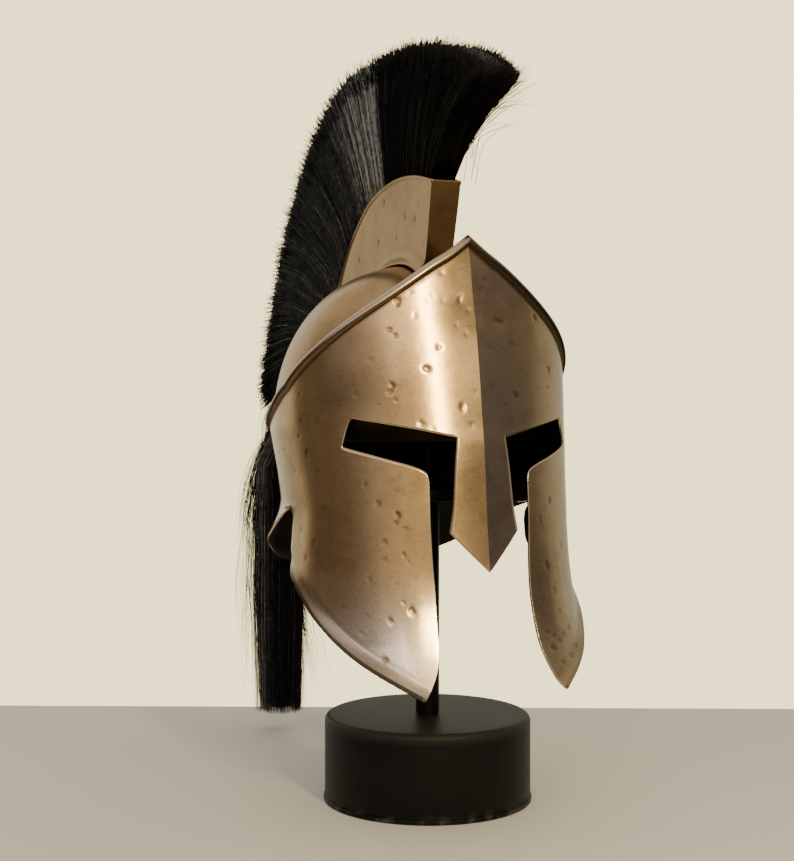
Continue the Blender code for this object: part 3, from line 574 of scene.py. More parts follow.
def make_bowl():
    """Rows down from the crown: polar angle p, azimuth a; an ellipse in plan and a rounded
    square, power 2.2, in height, with a short tapered skirt."""
    down = np.linspace(0, math.pi / 2, 44)[:, None]
    azimuth = np.linspace(0, 2 * math.pi, 120, endpoint=False)
    level, rise = np.sin(down), np.cos(down)
    scale = (level ** BOWL_POWER + rise ** BOWL_POWER) ** (-1.0 / BOWL_POWER)
    y = -level * scale * np.cos(azimuth)
    dome = places(level * scale * np.sin(azimuth) * BOWL_HALF_WIDTH,
                  BOWL_CENTRE[0] + y * np.where(y > 0, BOWL_REACH[1], BOWL_REACH[0]),
                  BOWL_CENTRE[1] + rise * scale * BOWL_RISE)
    share = np.linspace(0, 1, 5)[1:, None]
    taper = part_way(1.0, SKIRT_TAPER, share)
    x, y, z = np.moveaxis(dome[-1:], -1, 0)
    skirt = places(x * taper, (y - BOWL_CENTRE[0]) * taper + BOWL_CENTRE[0], z - BOWL_SKIRT * share)
    points = np.concatenate([dome, skirt])
    z = points[..., 2]
    # Painted shade on the bowl under the crest holder and below the brow's band.
    bowl_shade = np.maximum(blend(z, 296, 278), blend(np.abs(points[..., 0]), 14.0, 12.0))
    make_piece("skull_dome", points, [BRONZE_BOWL, BRONZE_INSIDE], "skull_bowl",
               {"painted_shade": bowl_shade}, places(0.1 * azimuth, z * MM), weld=0.01, angle=45.0,
               thickness=BOWL_THICKNESS)


def polar(bearing, radius, x):
    """A place in the crest's side view: bearing about the bowl's centre, radius, distance out."""
    turn = np.radians(bearing)
    return places(x, BOWL_CENTRE[0] + radius * np.cos(turn),
                  BOWL_CENTRE[1] + radius * np.sin(turn))


def make_crest_box():
    """The crest holder: two side plates and a front, one sheet folded at the front corners."""
    top_bearing = np.linspace(BOX_TABLE[-1, 0], BOX_TABLE[0, 0], 150)[:, None]
    lean = (BOX_FRONT_FOOT - BOX_TABLE[-1, 0]) * blend(top_bearing, BOX_LEAN_FROM, 105)
    foot_bearing = top_bearing + lean
    flange = blend(foot_bearing, 66, 84)
    foot = bowl_radius(foot_bearing, BOX_HALF_WIDTH[1] + FLANGE_OUT * flange) + 0.5 \
        + FLANGE_GAP * flange
    tall = look_up(top_bearing, BOX_TABLE) - foot
    share = np.linspace(0, 1, 54)
    bearing, radius = top_bearing + lean * share, foot + tall * (1 - share)
    depth = tall * share
    out = part_way(*BOX_HALF_WIDTH, share) + 0.6 * bell(depth, 1.6, 0.9) \
        - 0.35 * bell(depth, 4.2, 0.8) + FLANGE_OUT * flange * fade(tall - depth, FLANGE_TALL, 2.2)
    rise, hollow = crest_dents(bearing, radius)
    side = polar(bearing, radius, out + rise)
    front = side[0][:, None] * places(np.linspace(-1, 1, 9), 1.0, 1.0)
    points, blocks, uv, (hollow,) = join([
        (side * (-1.0, 1.0, 1.0), False, side[..., 1:], hollow),
        (side, True, side[..., 1:], hollow), (front, False, front[..., ::2], 0 * front[..., 0])])
    piece = make_piece("crest_holder", points,
                       [BRONZE_BOWL, BRONZE_INSIDE, BRONZE_SHADED, BRONZE_INSIDE],
                       "crest_box", {"power": hollow, "dent": np.full(len(hollow), 0.6)}, uv,
                       blocks, weld=0.01, angle=35.0, thickness=BOX_THICKNESS)
    # Faces that look forward take the darker copy of the bronze: painted shade on the front plate.
    faces = piece.data.polygons
    normal = np.empty(len(faces) * 3, np.float32)
    faces.foreach_get("normal", normal)
    faces.foreach_set("material_index", np.where(normal[1::3] < -0.85, 2, 0).astype(np.int32))


def crest_dents(bearing, radius):
    """Narrow upright craters on the side plates. (displacement, hollow)"""
    place, rise, hollow = polar(bearing, radius, 0.0), 0.0, 0.0
    for at, out, wide, tall, strength in CREST_DENTS:
        q = np.linalg.norm((place - polar(at, out, 0.0)) / (1.0, wide, tall), axis=-1)
        crater = strength * np.exp(-1.3 * q ** 2)
        rise = rise - 0.5 * crater
        hollow = np.maximum(hollow, crater)
    return rise, hollow


def turned(name, profile, material, node, steps):
    """A turned piece: a profile of (radius, height) from the top centre, outside and down,
    carried round the Z axis; points on the axis are welded into one."""
    radius, height = np.concatenate([np.reshape(part, (-1, 2)) for part in profile]).T[..., None]
    turn = np.linspace(0, 2 * math.pi, steps, endpoint=False)
    points = places(radius * np.sin(turn), -radius * np.cos(turn), height)
    make_piece(name, points, [material], node, weld=0.001, angle=35.0)


def arc(radius, height, bend, start, end, count):
    """Points of an arc in the (radius, height) plane about a centre, bend its own radius."""
    a = np.radians(np.linspace(start, end, count))
    return places(radius + bend * np.cos(a), height + bend * np.sin(a))


def make_stand():
    """Base with a rounded top edge and a foot ring, post, plate and the head under the bowl."""
    edge = DRUM_RADIUS - DRUM_EDGE
    turned("base_drum", [
        (0, DRUM_TOP), (30, DRUM_TOP), (60, DRUM_TOP),
        arc(edge, DRUM_TOP - DRUM_EDGE, DRUM_EDGE, 90, 0, 11),
        (DRUM_RADIUS, 40.0), (DRUM_RADIUS, 20.0), (DRUM_RADIUS, 5.2),
        arc(DRUM_RADIUS - 0.5, 4.2, 0.5, 60, -60, 3), arc(DRUM_RADIUS + 0.1, 2.8, 0.8, 90, 0, 4),
        (DRUM_RADIUS + 0.9, 0.6), (DRUM_RADIUS + 0.4, 0), (40, 0), (0, 0)],
        BLACK_LEATHER, "stand_base", 128)
    inner = POST_RADIUS - 0.6
    turned("post_tube", [
        (0, POST_TOP), (inner, POST_TOP), (POST_RADIUS, POST_TOP - 0.6), (POST_RADIUS, 300.0),
        (POST_RADIUS, 150.0), (POST_RADIUS, POST_FOOT + 0.65), (inner, POST_FOOT), (0, POST_FOOT)],
        BLACK_SATIN, "stand_post", 48)
    edge = PLATE_RADIUS - PLATE_EDGE
    turned("plate_disc", [
        (PLATE_BORE, PLATE_FOOT), (PLATE_BORE, PLATE_TOP), (20, PLATE_TOP),
        arc(edge, PLATE_TOP - PLATE_EDGE, PLATE_EDGE, 90, 0, 4),
        arc(edge, PLATE_FOOT + PLATE_EDGE, PLATE_EDGE, 0, -90, 4),
        (20, PLATE_FOOT), (PLATE_BORE, PLATE_FOOT)], BLACK_SATIN, "stand_plate", 96)
    a = np.radians(np.linspace(0, 82, 16))
    turned("head_dome", [
        places(HEAD_RADIUS * np.sin(a), HEAD_FOOT + HEAD_RISE * np.cos(a)),
        (HEAD_RADIUS, HEAD_FOOT + 2), (HEAD_RADIUS - 0.6, HEAD_FOOT), (0, HEAD_FOOT)],
        BLACK_LEATHER, "stand_head", 64)


# ---------- hair
def near_one(dice, spread, low, shape):
    """Draws that fall short of 1 by a normal spread, and not under low."""
    return np.clip(1.0 - np.abs(dice.normal(0, spread, shape)), low, 1.0)


def some(dice, part, low, high, count):
    """Draws from low to high for a part of the hairs, 0 for the others."""
    return np.where(dice.random(count) < part, dice.uniform(low, high, count), 0.0)


def crest(share):
    """Root bearing, tip bearing, tip radius and half width of the brush."""
    return read_rows(share, PLUME_TABLE)


def strands(name, courses, thickness, shade, tip=0.25):
    """Thin closed strands: a three-sided tube along each course [strand, step, xyz], narrowing
    to a share of its width at the tip, with a cap at both ends; all strands are one mesh."""
    count, steps = courses.shape[:2]
    dice = np.random.default_rng(len(name) + count)
    course = unit(np.gradient(courses, axis=1))
    aim = dice.normal(size=(count, 1, 3))
    across = unit(aim - course * (course * aim).sum(axis=-1, keepdims=True))
    other = np.cross(course, across)
    taper = np.interp(np.linspace(0, 1, steps), [0, 0.7, 1.0], [1.0, 0.85, tip])
    radius = (thickness[:, None] / 2 * taper)[..., None, None]
    turn = np.radians([0.0, 120.0, 240.0])[:, None]
    ring = courses[:, :, None] + radius * (np.cos(turn) * across[:, :, None]
                                           + np.sin(turn) * other[:, :, None])
    a = np.arange(count * steps * 3).reshape(count, steps, 3)
    b = np.roll(a, -1, axis=2)
    quads = np.stack([a[:, :-1], b[:, :-1], b[:, 1:], a[:, 1:]], axis=-1).reshape(-1, 4)
    make_piece(name, ring, [HAIR], None, {"shade": np.repeat(shade, steps * 3)},
               blocks=[quads, a[:, 0, ::-1], a[:, -1]])


def make_core(name, sections, node):
    """A closed dark form under the strands from sections [station, round, xyz]; its two ends
    close on their own middles. Its UV runs round in u and along in v."""
    first, last = (np.broadcast_to(sections[i].mean(axis=0), sections[:1].shape) for i in (0, -1))
    grid = np.concatenate([first, sections, last])
    rows, columns = grid.shape[:2]
    uv = places(np.linspace(0, 1, columns), np.linspace(0, 1, rows)[:, None]) * 0.3
    make_piece(name, grid, [HAIR], node, {"shade": np.zeros(rows * columns)}, uv,
               weld=0.01, outward=True)


def fan_place(share, along, lateral, tip_bearing=None):
    """A place in the brush: share along the crest from 0 behind to 1 in front, along the strand
    from 0 in the channel to 1 at the crown, lateral -1 to 1 across. The middle of each strand
    leans to the square of the channel, so that the fan opens in a curve: a parabola through
    root, middle and tip. Strands with tip bearings of their own droop behind in an arch."""
    root_bearing, table_bearing, tip_radius, half = crest(share)
    if tip_bearing is None:
        tip_bearing, rear = table_bearing, 0.0
    else:
        rear = blend(share, 0.0, 0.16) * blend(share, 0.80, 0.50)
        tip_bearing = tip_bearing - DROOP * rear
        tip_radius = look_up(np.clip(tip_bearing, 4, 117), PLUME_TABLE, 2, key=1)
    edge = look_up(root_bearing, BOX_TABLE) - ROOT_DEPTH
    root, tip = polar(root_bearing, edge, 0.0), polar(tip_bearing, tip_radius, 0.0)
    length = np.linalg.norm(tip - root, axis=-1)
    square = polar(root_bearing + ARCH * rear, edge + 0.5 * length, 0.0)
    middle = part_way(0.5 * (root + tip), square, CHANNEL_SQUARE)
    t = along[..., None]
    place = (1 - t) ** 2 * root + 2 * t * (1 - t) * middle + t * t * tip
    spread = np.interp(along, *np.transpose(SPREAD))
    place[..., 0] = lateral * part_way(ROOT_HALF_WIDTH, half, spread)
    return place


def trimmed(lateral):
    """How much of its full length the crown's rounding leaves to a strand."""
    return np.interp(np.abs(lateral), *np.transpose(CROWN))


def brush_strands(name, count, seed, low, high, crown):
    """Strands of the brush between two shares of the crest: most lie near its outside, gather
    in clumps towards their tips, and are trimmed at the crown, which short ones fill."""
    dice = np.random.default_rng(seed)
    share = dice.uniform(low, high, count)
    lateral = np.where(dice.random(count) < 0.56, -1.0, 1.0)
    if crown:
        lateral = np.sin(dice.uniform(-0.5, 0.5, count) * math.pi)
    else:
        lateral *= near_one(dice, 0.13, 0.1, count)
    clump = (np.floor(share * CLUMPS) + 0.5) / CLUMPS
    lean, lengthen, tone = np.random.default_rng(5).normal(0, 1.0, (CLUMPS + 1, 3))[
        (share * CLUMPS).astype(int)].T
    tip_bearing = crest(0.5 * (share + clump))[1] + dice.normal(0, 0.5, count) + lean * 0.35
    reach = trimmed(lateral) * (1.006 + lengthen * 0.009 - np.abs(dice.normal(0, 0.013, count)))
    short = some(dice, 0.07, 0.6, 0.97, count)
    reach = reach * np.where(short > 0, short, 1.0) + some(dice, 0.07, 0.0, 0.03, count)
    along = reach[:, None] * (np.linspace(0.72, 1, 3) if crown else np.linspace(0, 1, 4))
    place = fan_place(share[:, None], along, lateral[:, None], tip_bearing[:, None])
    place += dice.normal(0, 0.55, (count, 1, 3)) * (along * (1.1 - along) * 3.2)[..., None]
    place += dice.normal(0, 0.5, (count, 1, 3)) * (along ** 2)[..., None]
    shade = hair_shade(dice, share, tone)
    strands(name, place, dice.uniform(*STRAND_WIDTH, count), shade, 0.7)


def hair_shade(dice, share, tone):
    """Lightness of each strand: mostly black, a few grey, lighter behind as painted sheen, and a
    bunch behind the crown with a painted grey sheen that stops short where the front bunch begins."""
    count, behind = len(share), share < SHEEN_END
    shade = np.where(behind, *HAIR_TONE) + TONE_SPREAD * dice.random(count) \
        + np.where(behind, 0.03, 0.02) * tone
    grey = (dice.random(count) < 0.04) & behind
    shade += np.where(grey, dice.uniform(0.12, 0.35, count), 0.0)
    # Painted sheen: the grey of the lit bunch.
    bunch = blend(share, SHEEN_START, SHEEN_FULL) * behind
    return np.clip(shade + bunch * (0.13 + 0.86 * dice.random(count) ** 2.2 + 0.08 * tone), 0, 1)


def make_brush():
    """The brush: a packed core drawn in a little, bunches of strands over it and its crown."""
    along = np.array([0.05, 0.2, 0.35, 0.5, 0.65, 0.78, 0.88, 0.94, 0.97, 0.984])
    wide = np.array([0.9, 0.86, 0.86, 0.86, 0.86, 0.86, 0.84, 0.78, 0.6, 0.3])
    sections = fan_place(np.linspace(0.02, 0.985, 56)[:, None],
                         np.concatenate([along, along[::-1]]), np.concatenate([wide, -wide[::-1]]))
    make_core("brush_core", sections, "plume_brush")
    for bunch in BUNCHES:
        brush_strands(*bunch)


def curve_through(rows, steps):
    """Courses [strand, step, xyz] on cubics through rows [row, strand, xyz]."""
    rows = np.asarray(rows, float)
    at = np.linspace(0, len(rows) - 1, steps)
    low = np.clip(at.astype(int), 0, len(rows) - 2)
    slope = np.gradient(rows, axis=0)
    return hermite((at - low)[:, None, None], rows[low], rows[low + 1], slope[low],
                   slope[low + 1]).transpose(1, 0, 2)


def make_strays():
    """Loose hairs along the front edge, over the crown and behind, a few long curved ones, and
    fuzz: short tips that splay out of the trimmed outline."""
    dice = np.random.default_rng(31)
    courses = []
    for low, high, count, longer, stray, way in STRAYS:
        share = dice.uniform(low, high, count)
        tip_bearing = crest(share)[1] + way * np.clip(np.abs(dice.normal(0, stray, count)), 0, 7)
        along = (0.95 + dice.uniform(0, longer + 0.07, (count, 1))) * np.linspace(0.1, 1, 9)
        place = fan_place(share[:, None], along, dice.uniform(-1, 1, (count, 1)),
                          tip_bearing[:, None])
        bend = np.clip(dice.normal(0, 2.5, (count, 1, 3)), -5, 5)
        courses.append(place + bend * (along ** 3)[..., None])
    second = dice.uniform((6, -70, 478), (14, -50, 505), (7, 3))
    third = second + dice.uniform((8, -20, 6), (16, -8, 14), (7, 3))
    fourth = third + dice.uniform((8, -14, -6), (18, -2, 4), (7, 3))
    courses.append(curve_through([second - (0, -10, 26), second, third, fourth], 9))
    courses = np.maximum(np.concatenate(courses), FRONT_LIMIT)
    strands("brush_strays", courses, dice.uniform(0.42, 0.66, len(courses)),
            0.2 * dice.random(len(courses)))

    share = dice.uniform(0, 0.97, FUZZ)
    lateral = np.where(dice.random(FUZZ) < 0.6, -1.0, 1.0) \
        * (1 - np.abs(dice.normal(0, 0.26, FUZZ)))
    reach = trimmed(lateral) \
        * (1.0 + FUZZ_REACH * dice.random(FUZZ) ** 1.5 * (0.3 + 0.7 * blend(share, 0.8, 0.5)))
    tip_bearing = crest(share)[1] + dice.normal(0, 1.6, FUZZ)
    place = fan_place(share[:, None], reach[:, None] * (0.86, 0.94, 1.0), lateral[:, None],
                      tip_bearing[:, None])
    place += dice.normal(0, 1.0, (FUZZ, 1, 3)) * np.array([0.0, 0.8, 2.2])[:, None]
    splay = np.sign(lateral) * blend(np.abs(lateral), 0.5, 0.9) * dice.random(FUZZ) ** 1.4
    place[..., 0] += splay[:, None] * (0.0, 1.8, FUZZ_SPLAY)
    strands("brush_fuzz", np.maximum(place, FRONT_LIMIT), dice.uniform(0.5, 0.85, FUZZ),
            0.2 * dice.random(FUZZ), 0.5)


def tail_place(share, turn, out, drift=0.0):
    """A place in the tail: share 0 at its root to 1 at its end, turn round it, out 1 at its skin
    and drift sideways, both in half widths."""
    *centre, wide, deep = read_rows(share, TAIL_TABLE)
    ahead, behind = (places(*read_rows(at, TAIL_TABLE)[:3])
                     for at in (np.minimum(share + 0.01, 1), np.maximum(share - 0.01, 0)))
    course = unit(ahead - behind)
    across = unit((1.0, 0.0, 0.0) - course * course[..., :1])
    return places(*centre) + across * ((np.cos(turn) * out + drift) * wide)[..., None] \
        + np.cross(course, across) * (np.sin(turn) * out * deep)[..., None]


def make_tail():
    """The long hair behind: a packed core and round it strands that keep their place with a
    slow wander."""
    around = 2 * math.pi
    make_core("tail_core", tail_place(np.linspace(0.01, 0.990, 40)[:, None],
                                      np.linspace(0, around, 20, endpoint=False), CORE_SHARE),
              "plume_tail")
    count, steps = 2400, 8
    dice = np.random.default_rng(21)
    turn = dice.uniform(0, around, count)
    out = near_one(dice, 0.16, 0.3, count) + some(dice, 0.08, 0.0, 0.16, count)
    length = near_one(dice, 0.006, 0.9, count)
    short = some(dice, 0.08, 0.45, 0.99, count)
    length = np.where(short > 0, short, length)
    share = length[:, None] * np.linspace(0, 1, steps)
    drift = np.cumsum(dice.normal(0, 0.045, (count, steps)), axis=1)
    clump = np.random.default_rng(8).normal(0, 1, TAIL_CLUMPS)[
        (turn / around * TAIL_CLUMPS).astype(int)]
    pinch = 1.0 + 0.05 * clump[:, None] * share
    place = tail_place(share, turn[:, None], out[:, None] * pinch, drift)
    grey = dice.random(count) < 0.05
    shade = 0.05 + 0.14 * dice.random(count) + np.where(grey, dice.uniform(0.15, 0.6, count), 0.0)
    # Lighter strands along the tail's -X edge: painted sheen.
    shade += blend(np.cos(turn), -0.5, -1.0) * 0.65 * dice.random(count)
    strands("tail_hair", place, dice.uniform(0.34, 0.60, count), np.clip(shade, 0, 1))


def make_tail_wisps():
    """Thin hair: from the brush's foot down into the tail, a loose bundle on the helmet's right
    and the ends."""
    dice = np.random.default_rng(41)
    courses, thickness = [], []
    for count, thick, table in WISPS:
        place, stray = np.split(np.array(table, float)[:, None], [3], axis=-1)
        rows = place + dice.normal(0, 1.0, (1, count, 3)) * stray * (0.6, 0.4, 0.4) \
            + dice.normal(0, 0.16, (len(table), count, 3)) * stray
        rows[..., 2] = np.maximum(rows[..., 2], 16.0)
        whole = curve_through(rows, 33)
        reach = 32 * near_one(dice, 0.18, 0.45, (count, 1))
        step = np.round(reach * np.linspace(0, 1, 9)).astype(int)
        courses.append(whole[np.arange(count)[:, None], step])
        thickness.append(thick * dice.uniform(0.8, 1.3, count))
    courses = np.concatenate(courses)
    strands("tail_wisps", courses, np.concatenate(thickness),
            0.3 * dice.random(len(courses)) ** 2)


# ---------- materials
def rgba(colour):
    """Three numbers, or one for a grey, as an opaque colour."""
    return (*(colour if isinstance(colour, tuple) else (colour,) * 3), 1.0)


def tinted(colour, by):
    """A colour made lighter or darker."""
    return tuple(min(1.0, by * c) for c in colour)


class Nodes:
    """Short calls for the node tree of a material or of the world."""

    def __init__(self, owner):
        owner.use_nodes = True
        self.owner, self.tree = owner, owner.node_tree

    def add(self, kind, settings=None, *values, **inputs):
        """A node with settings on it, and values or links on its inputs, in order or by name."""
        node = self.tree.nodes.new("ShaderNode" + kind)
        for key, value in (settings or {}).items():
            setattr(node, key, value)
        for socket, value in (*enumerate(values), *inputs.items()):
            self.put(node, socket, value)
        return node

    def put(self, node, socket, value):
        """Set or link an input."""
        if isinstance(value, bpy.types.NodeSocket):
            self.tree.links.new(value, node.inputs[socket])
        else:
            node.inputs[socket].default_value = value

    def math(self, operation, *values, clamp=False):
        """A Math node's result."""
        return self.add("Math", {"operation": operation, "use_clamp": clamp}, *values).outputs[0]

    def times(self, a, b, clamp=False):
        """A product."""
        return self.math("MULTIPLY", a, b, clamp=clamp)

    def plus(self, total, *more):
        """A sum."""
        for value in more:
            total = self.math("ADD", total, value)
        return total

    def mix(self, share, a, b, kind="MIX"):
        """A colour mix."""
        node = self.add("Mix", {"data_type": "RGBA", "blend_type": kind}, share)
        for socket, value in ((6, a), (7, b)):
            self.put(node, socket, rgba(value) if isinstance(value, tuple) else value)
        return node.outputs[2]

    def ramp(self, value, *stops):
        """A colour ramp through (position, colour or grey) stops."""
        node = self.add("ValToRGB", None, value)
        points = node.color_ramp.elements
        while len(points) < len(stops):
            points.new(0.5)
        for point, (position, colour) in zip(points, stops):
            point.position = position
            point.color = rgba(colour)
        return node.outputs[0]

    def noise(self, vector, scale, detail=3.0, roughness=0.55):
        """A noise's strength over a vector."""
        return self.add("TexNoise", Vector=vector, Scale=scale, Detail=detail,
                        Roughness=roughness).outputs["Fac"]

    def place(self):
        """The point on the object, in metres."""
        return self.add("TexCoord").outputs["Object"]

    def carried(self, key):
        """A number that the mesh carries."""
        return self.add("Attribute", {"attribute_name": key}).outputs["Fac"]

    def surface(self, colour, roughness, height=None, strength=0.0, distance=0.0, **constants):
        """Finish the material: its shader's values, with a bump from a height."""
        shader = self.tree.nodes["Principled BSDF"]
        self.put(shader, "Base Color", colour)
        self.put(shader, "Roughness", roughness)
        for key, value in constants.items():
            shader.inputs[key.replace("_", " ")].default_value = value
        if height:
            bump = self.add("Bump", Strength=strength, Distance=distance, Height=height)
            self.put(shader, "Normal", bump.outputs[0])
        return self.owner


def bronze_material(name, base, dark, roughness):
    """Satin brushed antique bronze: slow patina mottle, fine level grain, dark hollows, bright
    edges, and the painted shade that the mesh carries. A dent's wall and lip are drawn from its
    distance q, which the mesh carries."""
    n = Nodes(bpy.data.materials.new(name))
    place, flat = n.place(), n.add("UVMap", {"uv_map": "grain"}).outputs["UV"]
    q = n.times(n.carried("dent"), 1 / 3)
    power, wear, painted_shade, pale = map(n.carried, ("power", "wear", "painted_shade", "pale"))
    cloud, patch = n.noise(place, 11.0, 4.0), n.noise(place, 60.0, 3.0, 0.6)
    fine = n.noise(place, 520.0, 2.0, 0.6)
    stretched = n.add("Mapping", Vector=flat, Scale=(50.0, 2400.0, 1.0)).outputs[0]
    grain = n.noise(stretched, 1.0, 2.0, 0.5)
    colour = n.ramp(n.plus(n.times(cloud, 0.6), n.times(patch, 0.4)), (0.34, tinted(dark, 0.86)),
                    (0.44, dark), (0.52, base), (0.66, tinted(base, 1.06)))
    rubbed = n.times(pale, n.plus(n.times(cloud, 0.5), 0.75), clamp=True)
    colour = n.mix(rubbed, colour, RUBBED)
    colour = n.mix(0.7, colour, n.ramp(fine, (0.30, 0.72), (0.46, 1.0)), "MULTIPLY")
    streak = n.ramp(grain, (0.30, 0.94), (0.52, 1.0), (0.72, 1.03))
    colour = n.mix(1.0, colour, streak, "MULTIPLY")
    hollow = n.times(power, n.ramp(q, (0.0, 0.75), (0.20, 0.90), (0.31, 0.95), (0.42, 0.0)),
                     clamp=True)
    colour = n.mix(n.times(hollow, 0.95, clamp=True), colour,
                   tuple(c * part for c, part in zip(dark, (0.34, 0.30, 0.26))))
    colour = n.mix(n.times(wear, 0.6, clamp=True), colour, EDGE_METAL)
    # Painted shade from the mesh: darker and duller.
    colour = n.mix(painted_shade, colour, SHADE_COLOUR)
    rough = n.plus(n.times(patch, 0.07), roughness - 0.05, n.times(grain, 0.04),
                   n.times(painted_shade, 0.25), n.times(hollow, 0.12))
    wall = n.ramp(q, (0.0, 0.0), (0.14, 0.06), (0.34, 0.84), (0.42, 0.92), (0.56, 0.88))
    wall = n.times(n.plus(wall, -0.88), power)
    height = n.plus(n.times(grain, 0.035), n.times(patch, 0.35), n.times(fine, 0.08),
                    n.times(wall, 0.65))
    return n.surface(colour, rough, height, 0.5, 0.0003, Metallic=1.0)


def inside_material():
    """The unpolished inner side: dark, dull, olive brown."""
    n = Nodes(bpy.data.materials.new("bronze_inside"))
    cloud, fine = n.noise(n.place(), 30.0, 4.0, 0.6), n.noise(n.place(), 300.0)
    colour = n.ramp(cloud, (0.35, (0.010, 0.009, 0.005)), (0.65, (0.028, 0.024, 0.013)))
    return n.surface(colour, n.plus(n.times(cloud, 0.15), 0.5), fine, 0.25, 0.0004, Metallic=0.85)


def black_material(name, colour, roughness, scale, strength, worn_edge=False):
    """Black satin: a dull lacquer or leather with a fine grain; on the drum, a rubbed grey with a
    painted sheen on its rounded edge, scuffs at its foot and a painted warm reflection on its flat
    top."""
    n = Nodes(bpy.data.materials.new(name))
    place = n.place()
    fine = n.noise(place, scale, 3.0, 0.6)
    base = n.ramp(n.noise(place, 22.0, 3.0, 0.6), (0.3, tinted(colour, 0.8)),
                  (0.7, tinted(colour, 1.25)))
    if worn_edge:
        level = n.add("VectorMath", {"operation": "MULTIPLY"}, place, (1, 1, 0)).outputs[0]
        across = n.add("VectorMath", {"operation": "LENGTH"}, level).outputs["Value"]
        high = n.add("SeparateXYZ", None, place).outputs[2]
        # Rubbed grey with a painted sheen on the drum's rounded edge.
        rim = n.times(n.ramp(across, (0.0715, 0.0), (0.0758, 1.0)),
                      n.ramp(high, (0.0560, 0.0), (0.0605, 1.0), (0.2, 1.0), (0.21, 0.0)))
        foot = n.times(n.ramp(high, (0.0, 1.0), (0.0030, 0.9), (0.0045, 0.0)),
                       n.ramp(n.noise(place, 90.0, 2.0), (0.50, 0.0), (0.62, 1.0)))
        # A painted warm reflection on the drum's flat top.
        top = n.ramp(high, (0.0615, 0.0), (0.0631, 1.0), (0.0640, 1.0), (0.0650, 0.0))
        for share, shade in ((n.times(rim, 0.8), (0.034, 0.034, 0.033)),
                             (n.times(foot, 0.8), (0.070, 0.068, 0.064)),
                             (n.times(top, 0.7), (0.044, 0.033, 0.021))):
            base = n.mix(share, base, shade)
    return n.surface(base, n.plus(n.times(fine, 0.14), roughness - 0.06), fine, strength, 0.0002,
                     Specular_IOR_Level=0.16)


def hair_material():
    """Black horsehair: each strand has its own depth of black and gloss; the lighter strands carry
    painted sheen, broken into streaks by a noise.
    """
    n = Nodes(bpy.data.materials.new("black_horsehair"))
    broken = n.plus(n.times(n.noise(n.place(), 230.0, 2.0, 0.6), 1.4), 0.30)
    shade = n.times(n.carried("shade"), broken, clamp=True)
    colour = n.ramp(shade, (0.0, 0.0008), (0.25, (0.0117, 0.012, 0.0130)),
                    (0.5, (0.093, 0.096, 0.103)), (1.0, (0.66, 0.67, 0.68)))
    return n.surface(colour, n.plus(n.times(shade, -0.16), 0.46), Specular_IOR_Level=0.2)


def floor_material():
    """Plain pale floor with a barely seen mottle."""
    n = Nodes(bpy.data.materials.new("pale_floor"))
    colour = n.ramp(n.noise(n.place(), 3.0), (0.3, (0.86, 0.82, 0.74)), (0.7, (0.89, 0.85, 0.77)))
    return n.surface(colour, 0.75)


# ---------- stage, light, camera
def make_floor():
    """A plain floor under everything, turned square to the camera."""
    cos, sin = math.cos(math.radians(FLOOR_TURN)), math.sin(math.radians(FLOOR_TURN))
    mesh = bpy.data.meshes.new("floor")
    mesh.from_pydata([(x * cos - y * sin, x * sin + y * cos, FLOOR_LEVEL) for x, y in (
        (-FLOOR_HALF, -FLOOR_HALF), (FLOOR_HALF, -FLOOR_HALF), (FLOOR_HALF, FLOOR_REAR),
        (-FLOOR_HALF, FLOOR_REAR))], [], [(0, 1, 2, 3)])
    mesh.materials.append(floor_material())
    new_object("floor", mesh)


def studio_lamp(name, bearing, rise, away, target, size, strength, colour):
    """A soft panel seen from the target at a bearing from straight ahead towards the helmet's
    right and a rise, in degrees. Its power, strength x pi x area, gives it an even radiance."""
    data = bpy.data.lights.new(name, "AREA")
    data.shape = "RECTANGLE"
    data.size, data.size_y = size
    data.energy = strength * math.pi * size[0] * size[1]
    data.color = colour
    lamp = new_object(name, data)
    turn, lift = math.radians(bearing), math.radians(rise)
    towards = Vector((-math.sin(turn) * math.cos(lift), -math.cos(turn) * math.cos(lift),
                      math.sin(lift)))
    lamp.location = Vector(target) + towards * away
    lamp.rotation_euler = towards.to_track_quat("Z", "Y").to_euler()
    lamp.visible_camera = False


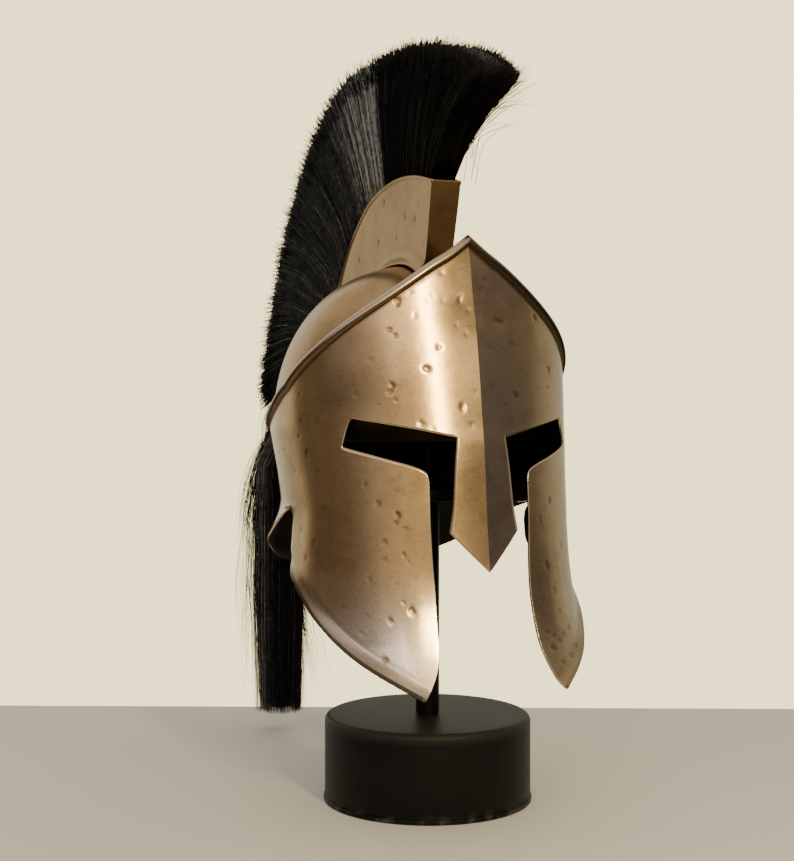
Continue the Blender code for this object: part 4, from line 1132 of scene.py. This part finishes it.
def make_world():
    """Soft studio surroundings by direction: a pale backdrop to the camera; in reflections pale
    behind, dim to both sides, warm below and cooler above."""
    world = bpy.data.worlds.new("studio")
    bpy.context.scene.world = world
    n = Nodes(world)
    x, y, z = n.add("SeparateXYZ", None, n.add("TexCoord").outputs["Generated"]).outputs
    turn = n.math("ARCTAN2", n.times(x, -1.0), n.times(y, -1.0))
    turn = n.math("MULTIPLY_ADD", turn, 0.5 / math.pi, 0.5)
    height = n.math("MULTIPLY_ADD", z, 0.5, 0.5)
    colour = n.ramp(turn, *((bearing / 360 + 0.5, shade) for bearing, shade in ROUND_ABOUT))
    for shade, shares in ((SKY, SKY_SHARE), (GROUND, GROUND_SHARE)):
        stops = ((0.5 + 0.5 * math.sin(math.radians(rise)), share) for rise, share in shares)
        colour = n.mix(n.ramp(height, *stops), colour, shade)
    studio = n.tree.nodes["Background"]
    n.put(studio, 0, colour)
    n.put(studio, 1, STUDIO_LIGHT)
    backdrop = n.add("Background", None, BACKDROP, BACKDROP_LIGHT)
    choose = n.add("MixShader", None, n.add("LightPath").outputs["Is Camera Ray"],
                   studio.outputs[0], backdrop.outputs[0])
    n.put(n.tree.nodes["World Output"], 0, choose.outputs[0])


def make_camera():
    """Camera 27 degrees to the helmet's right of its face, level with its eyes."""
    data = bpy.data.cameras.new("camera")
    data.lens, data.clip_end = CAMERA_LENS, CAMERA_RANGE
    data.sensor_width = data.sensor_height = CAMERA_SENSOR
    camera = new_object("camera", data)
    camera.location = CAMERA_PLACE
    camera.rotation_euler = [math.radians(turn) for turn in CAMERA_TURN]
    bpy.context.scene.camera = camera


BRONZE = bronze_material("bronze_brushed", (0.60, 0.40, 0.22), (0.53, 0.34, 0.18), 0.18)
BRONZE_BOWL = bronze_material("bronze_smooth", (0.58, 0.40, 0.23), (0.52, 0.35, 0.20), 0.28)
# A darker copy for the crest holder's front plate: painted shade.
BRONZE_SHADED = bronze_material("bronze_shaded", (0.44, 0.27, 0.12), (0.38, 0.23, 0.10), 0.28)
BRONZE_INSIDE = inside_material()
BLACK_LEATHER = black_material("black_drum", (0.004, 0.004, 0.004), 0.46, 900.0, 0.15, True)
BLACK_SATIN = black_material("black_satin", (0.004, 0.004, 0.0045), 0.38, 500.0, 0.08)
HAIR = hair_material()

make_helmet()
make_bowl()
make_crest_box()
make_stand()
make_brush()
make_strays()
make_tail()
make_tail_wisps()
make_floor()
make_world()
for lamp in LAMPS:
    studio_lamp(*lamp)
make_camera()
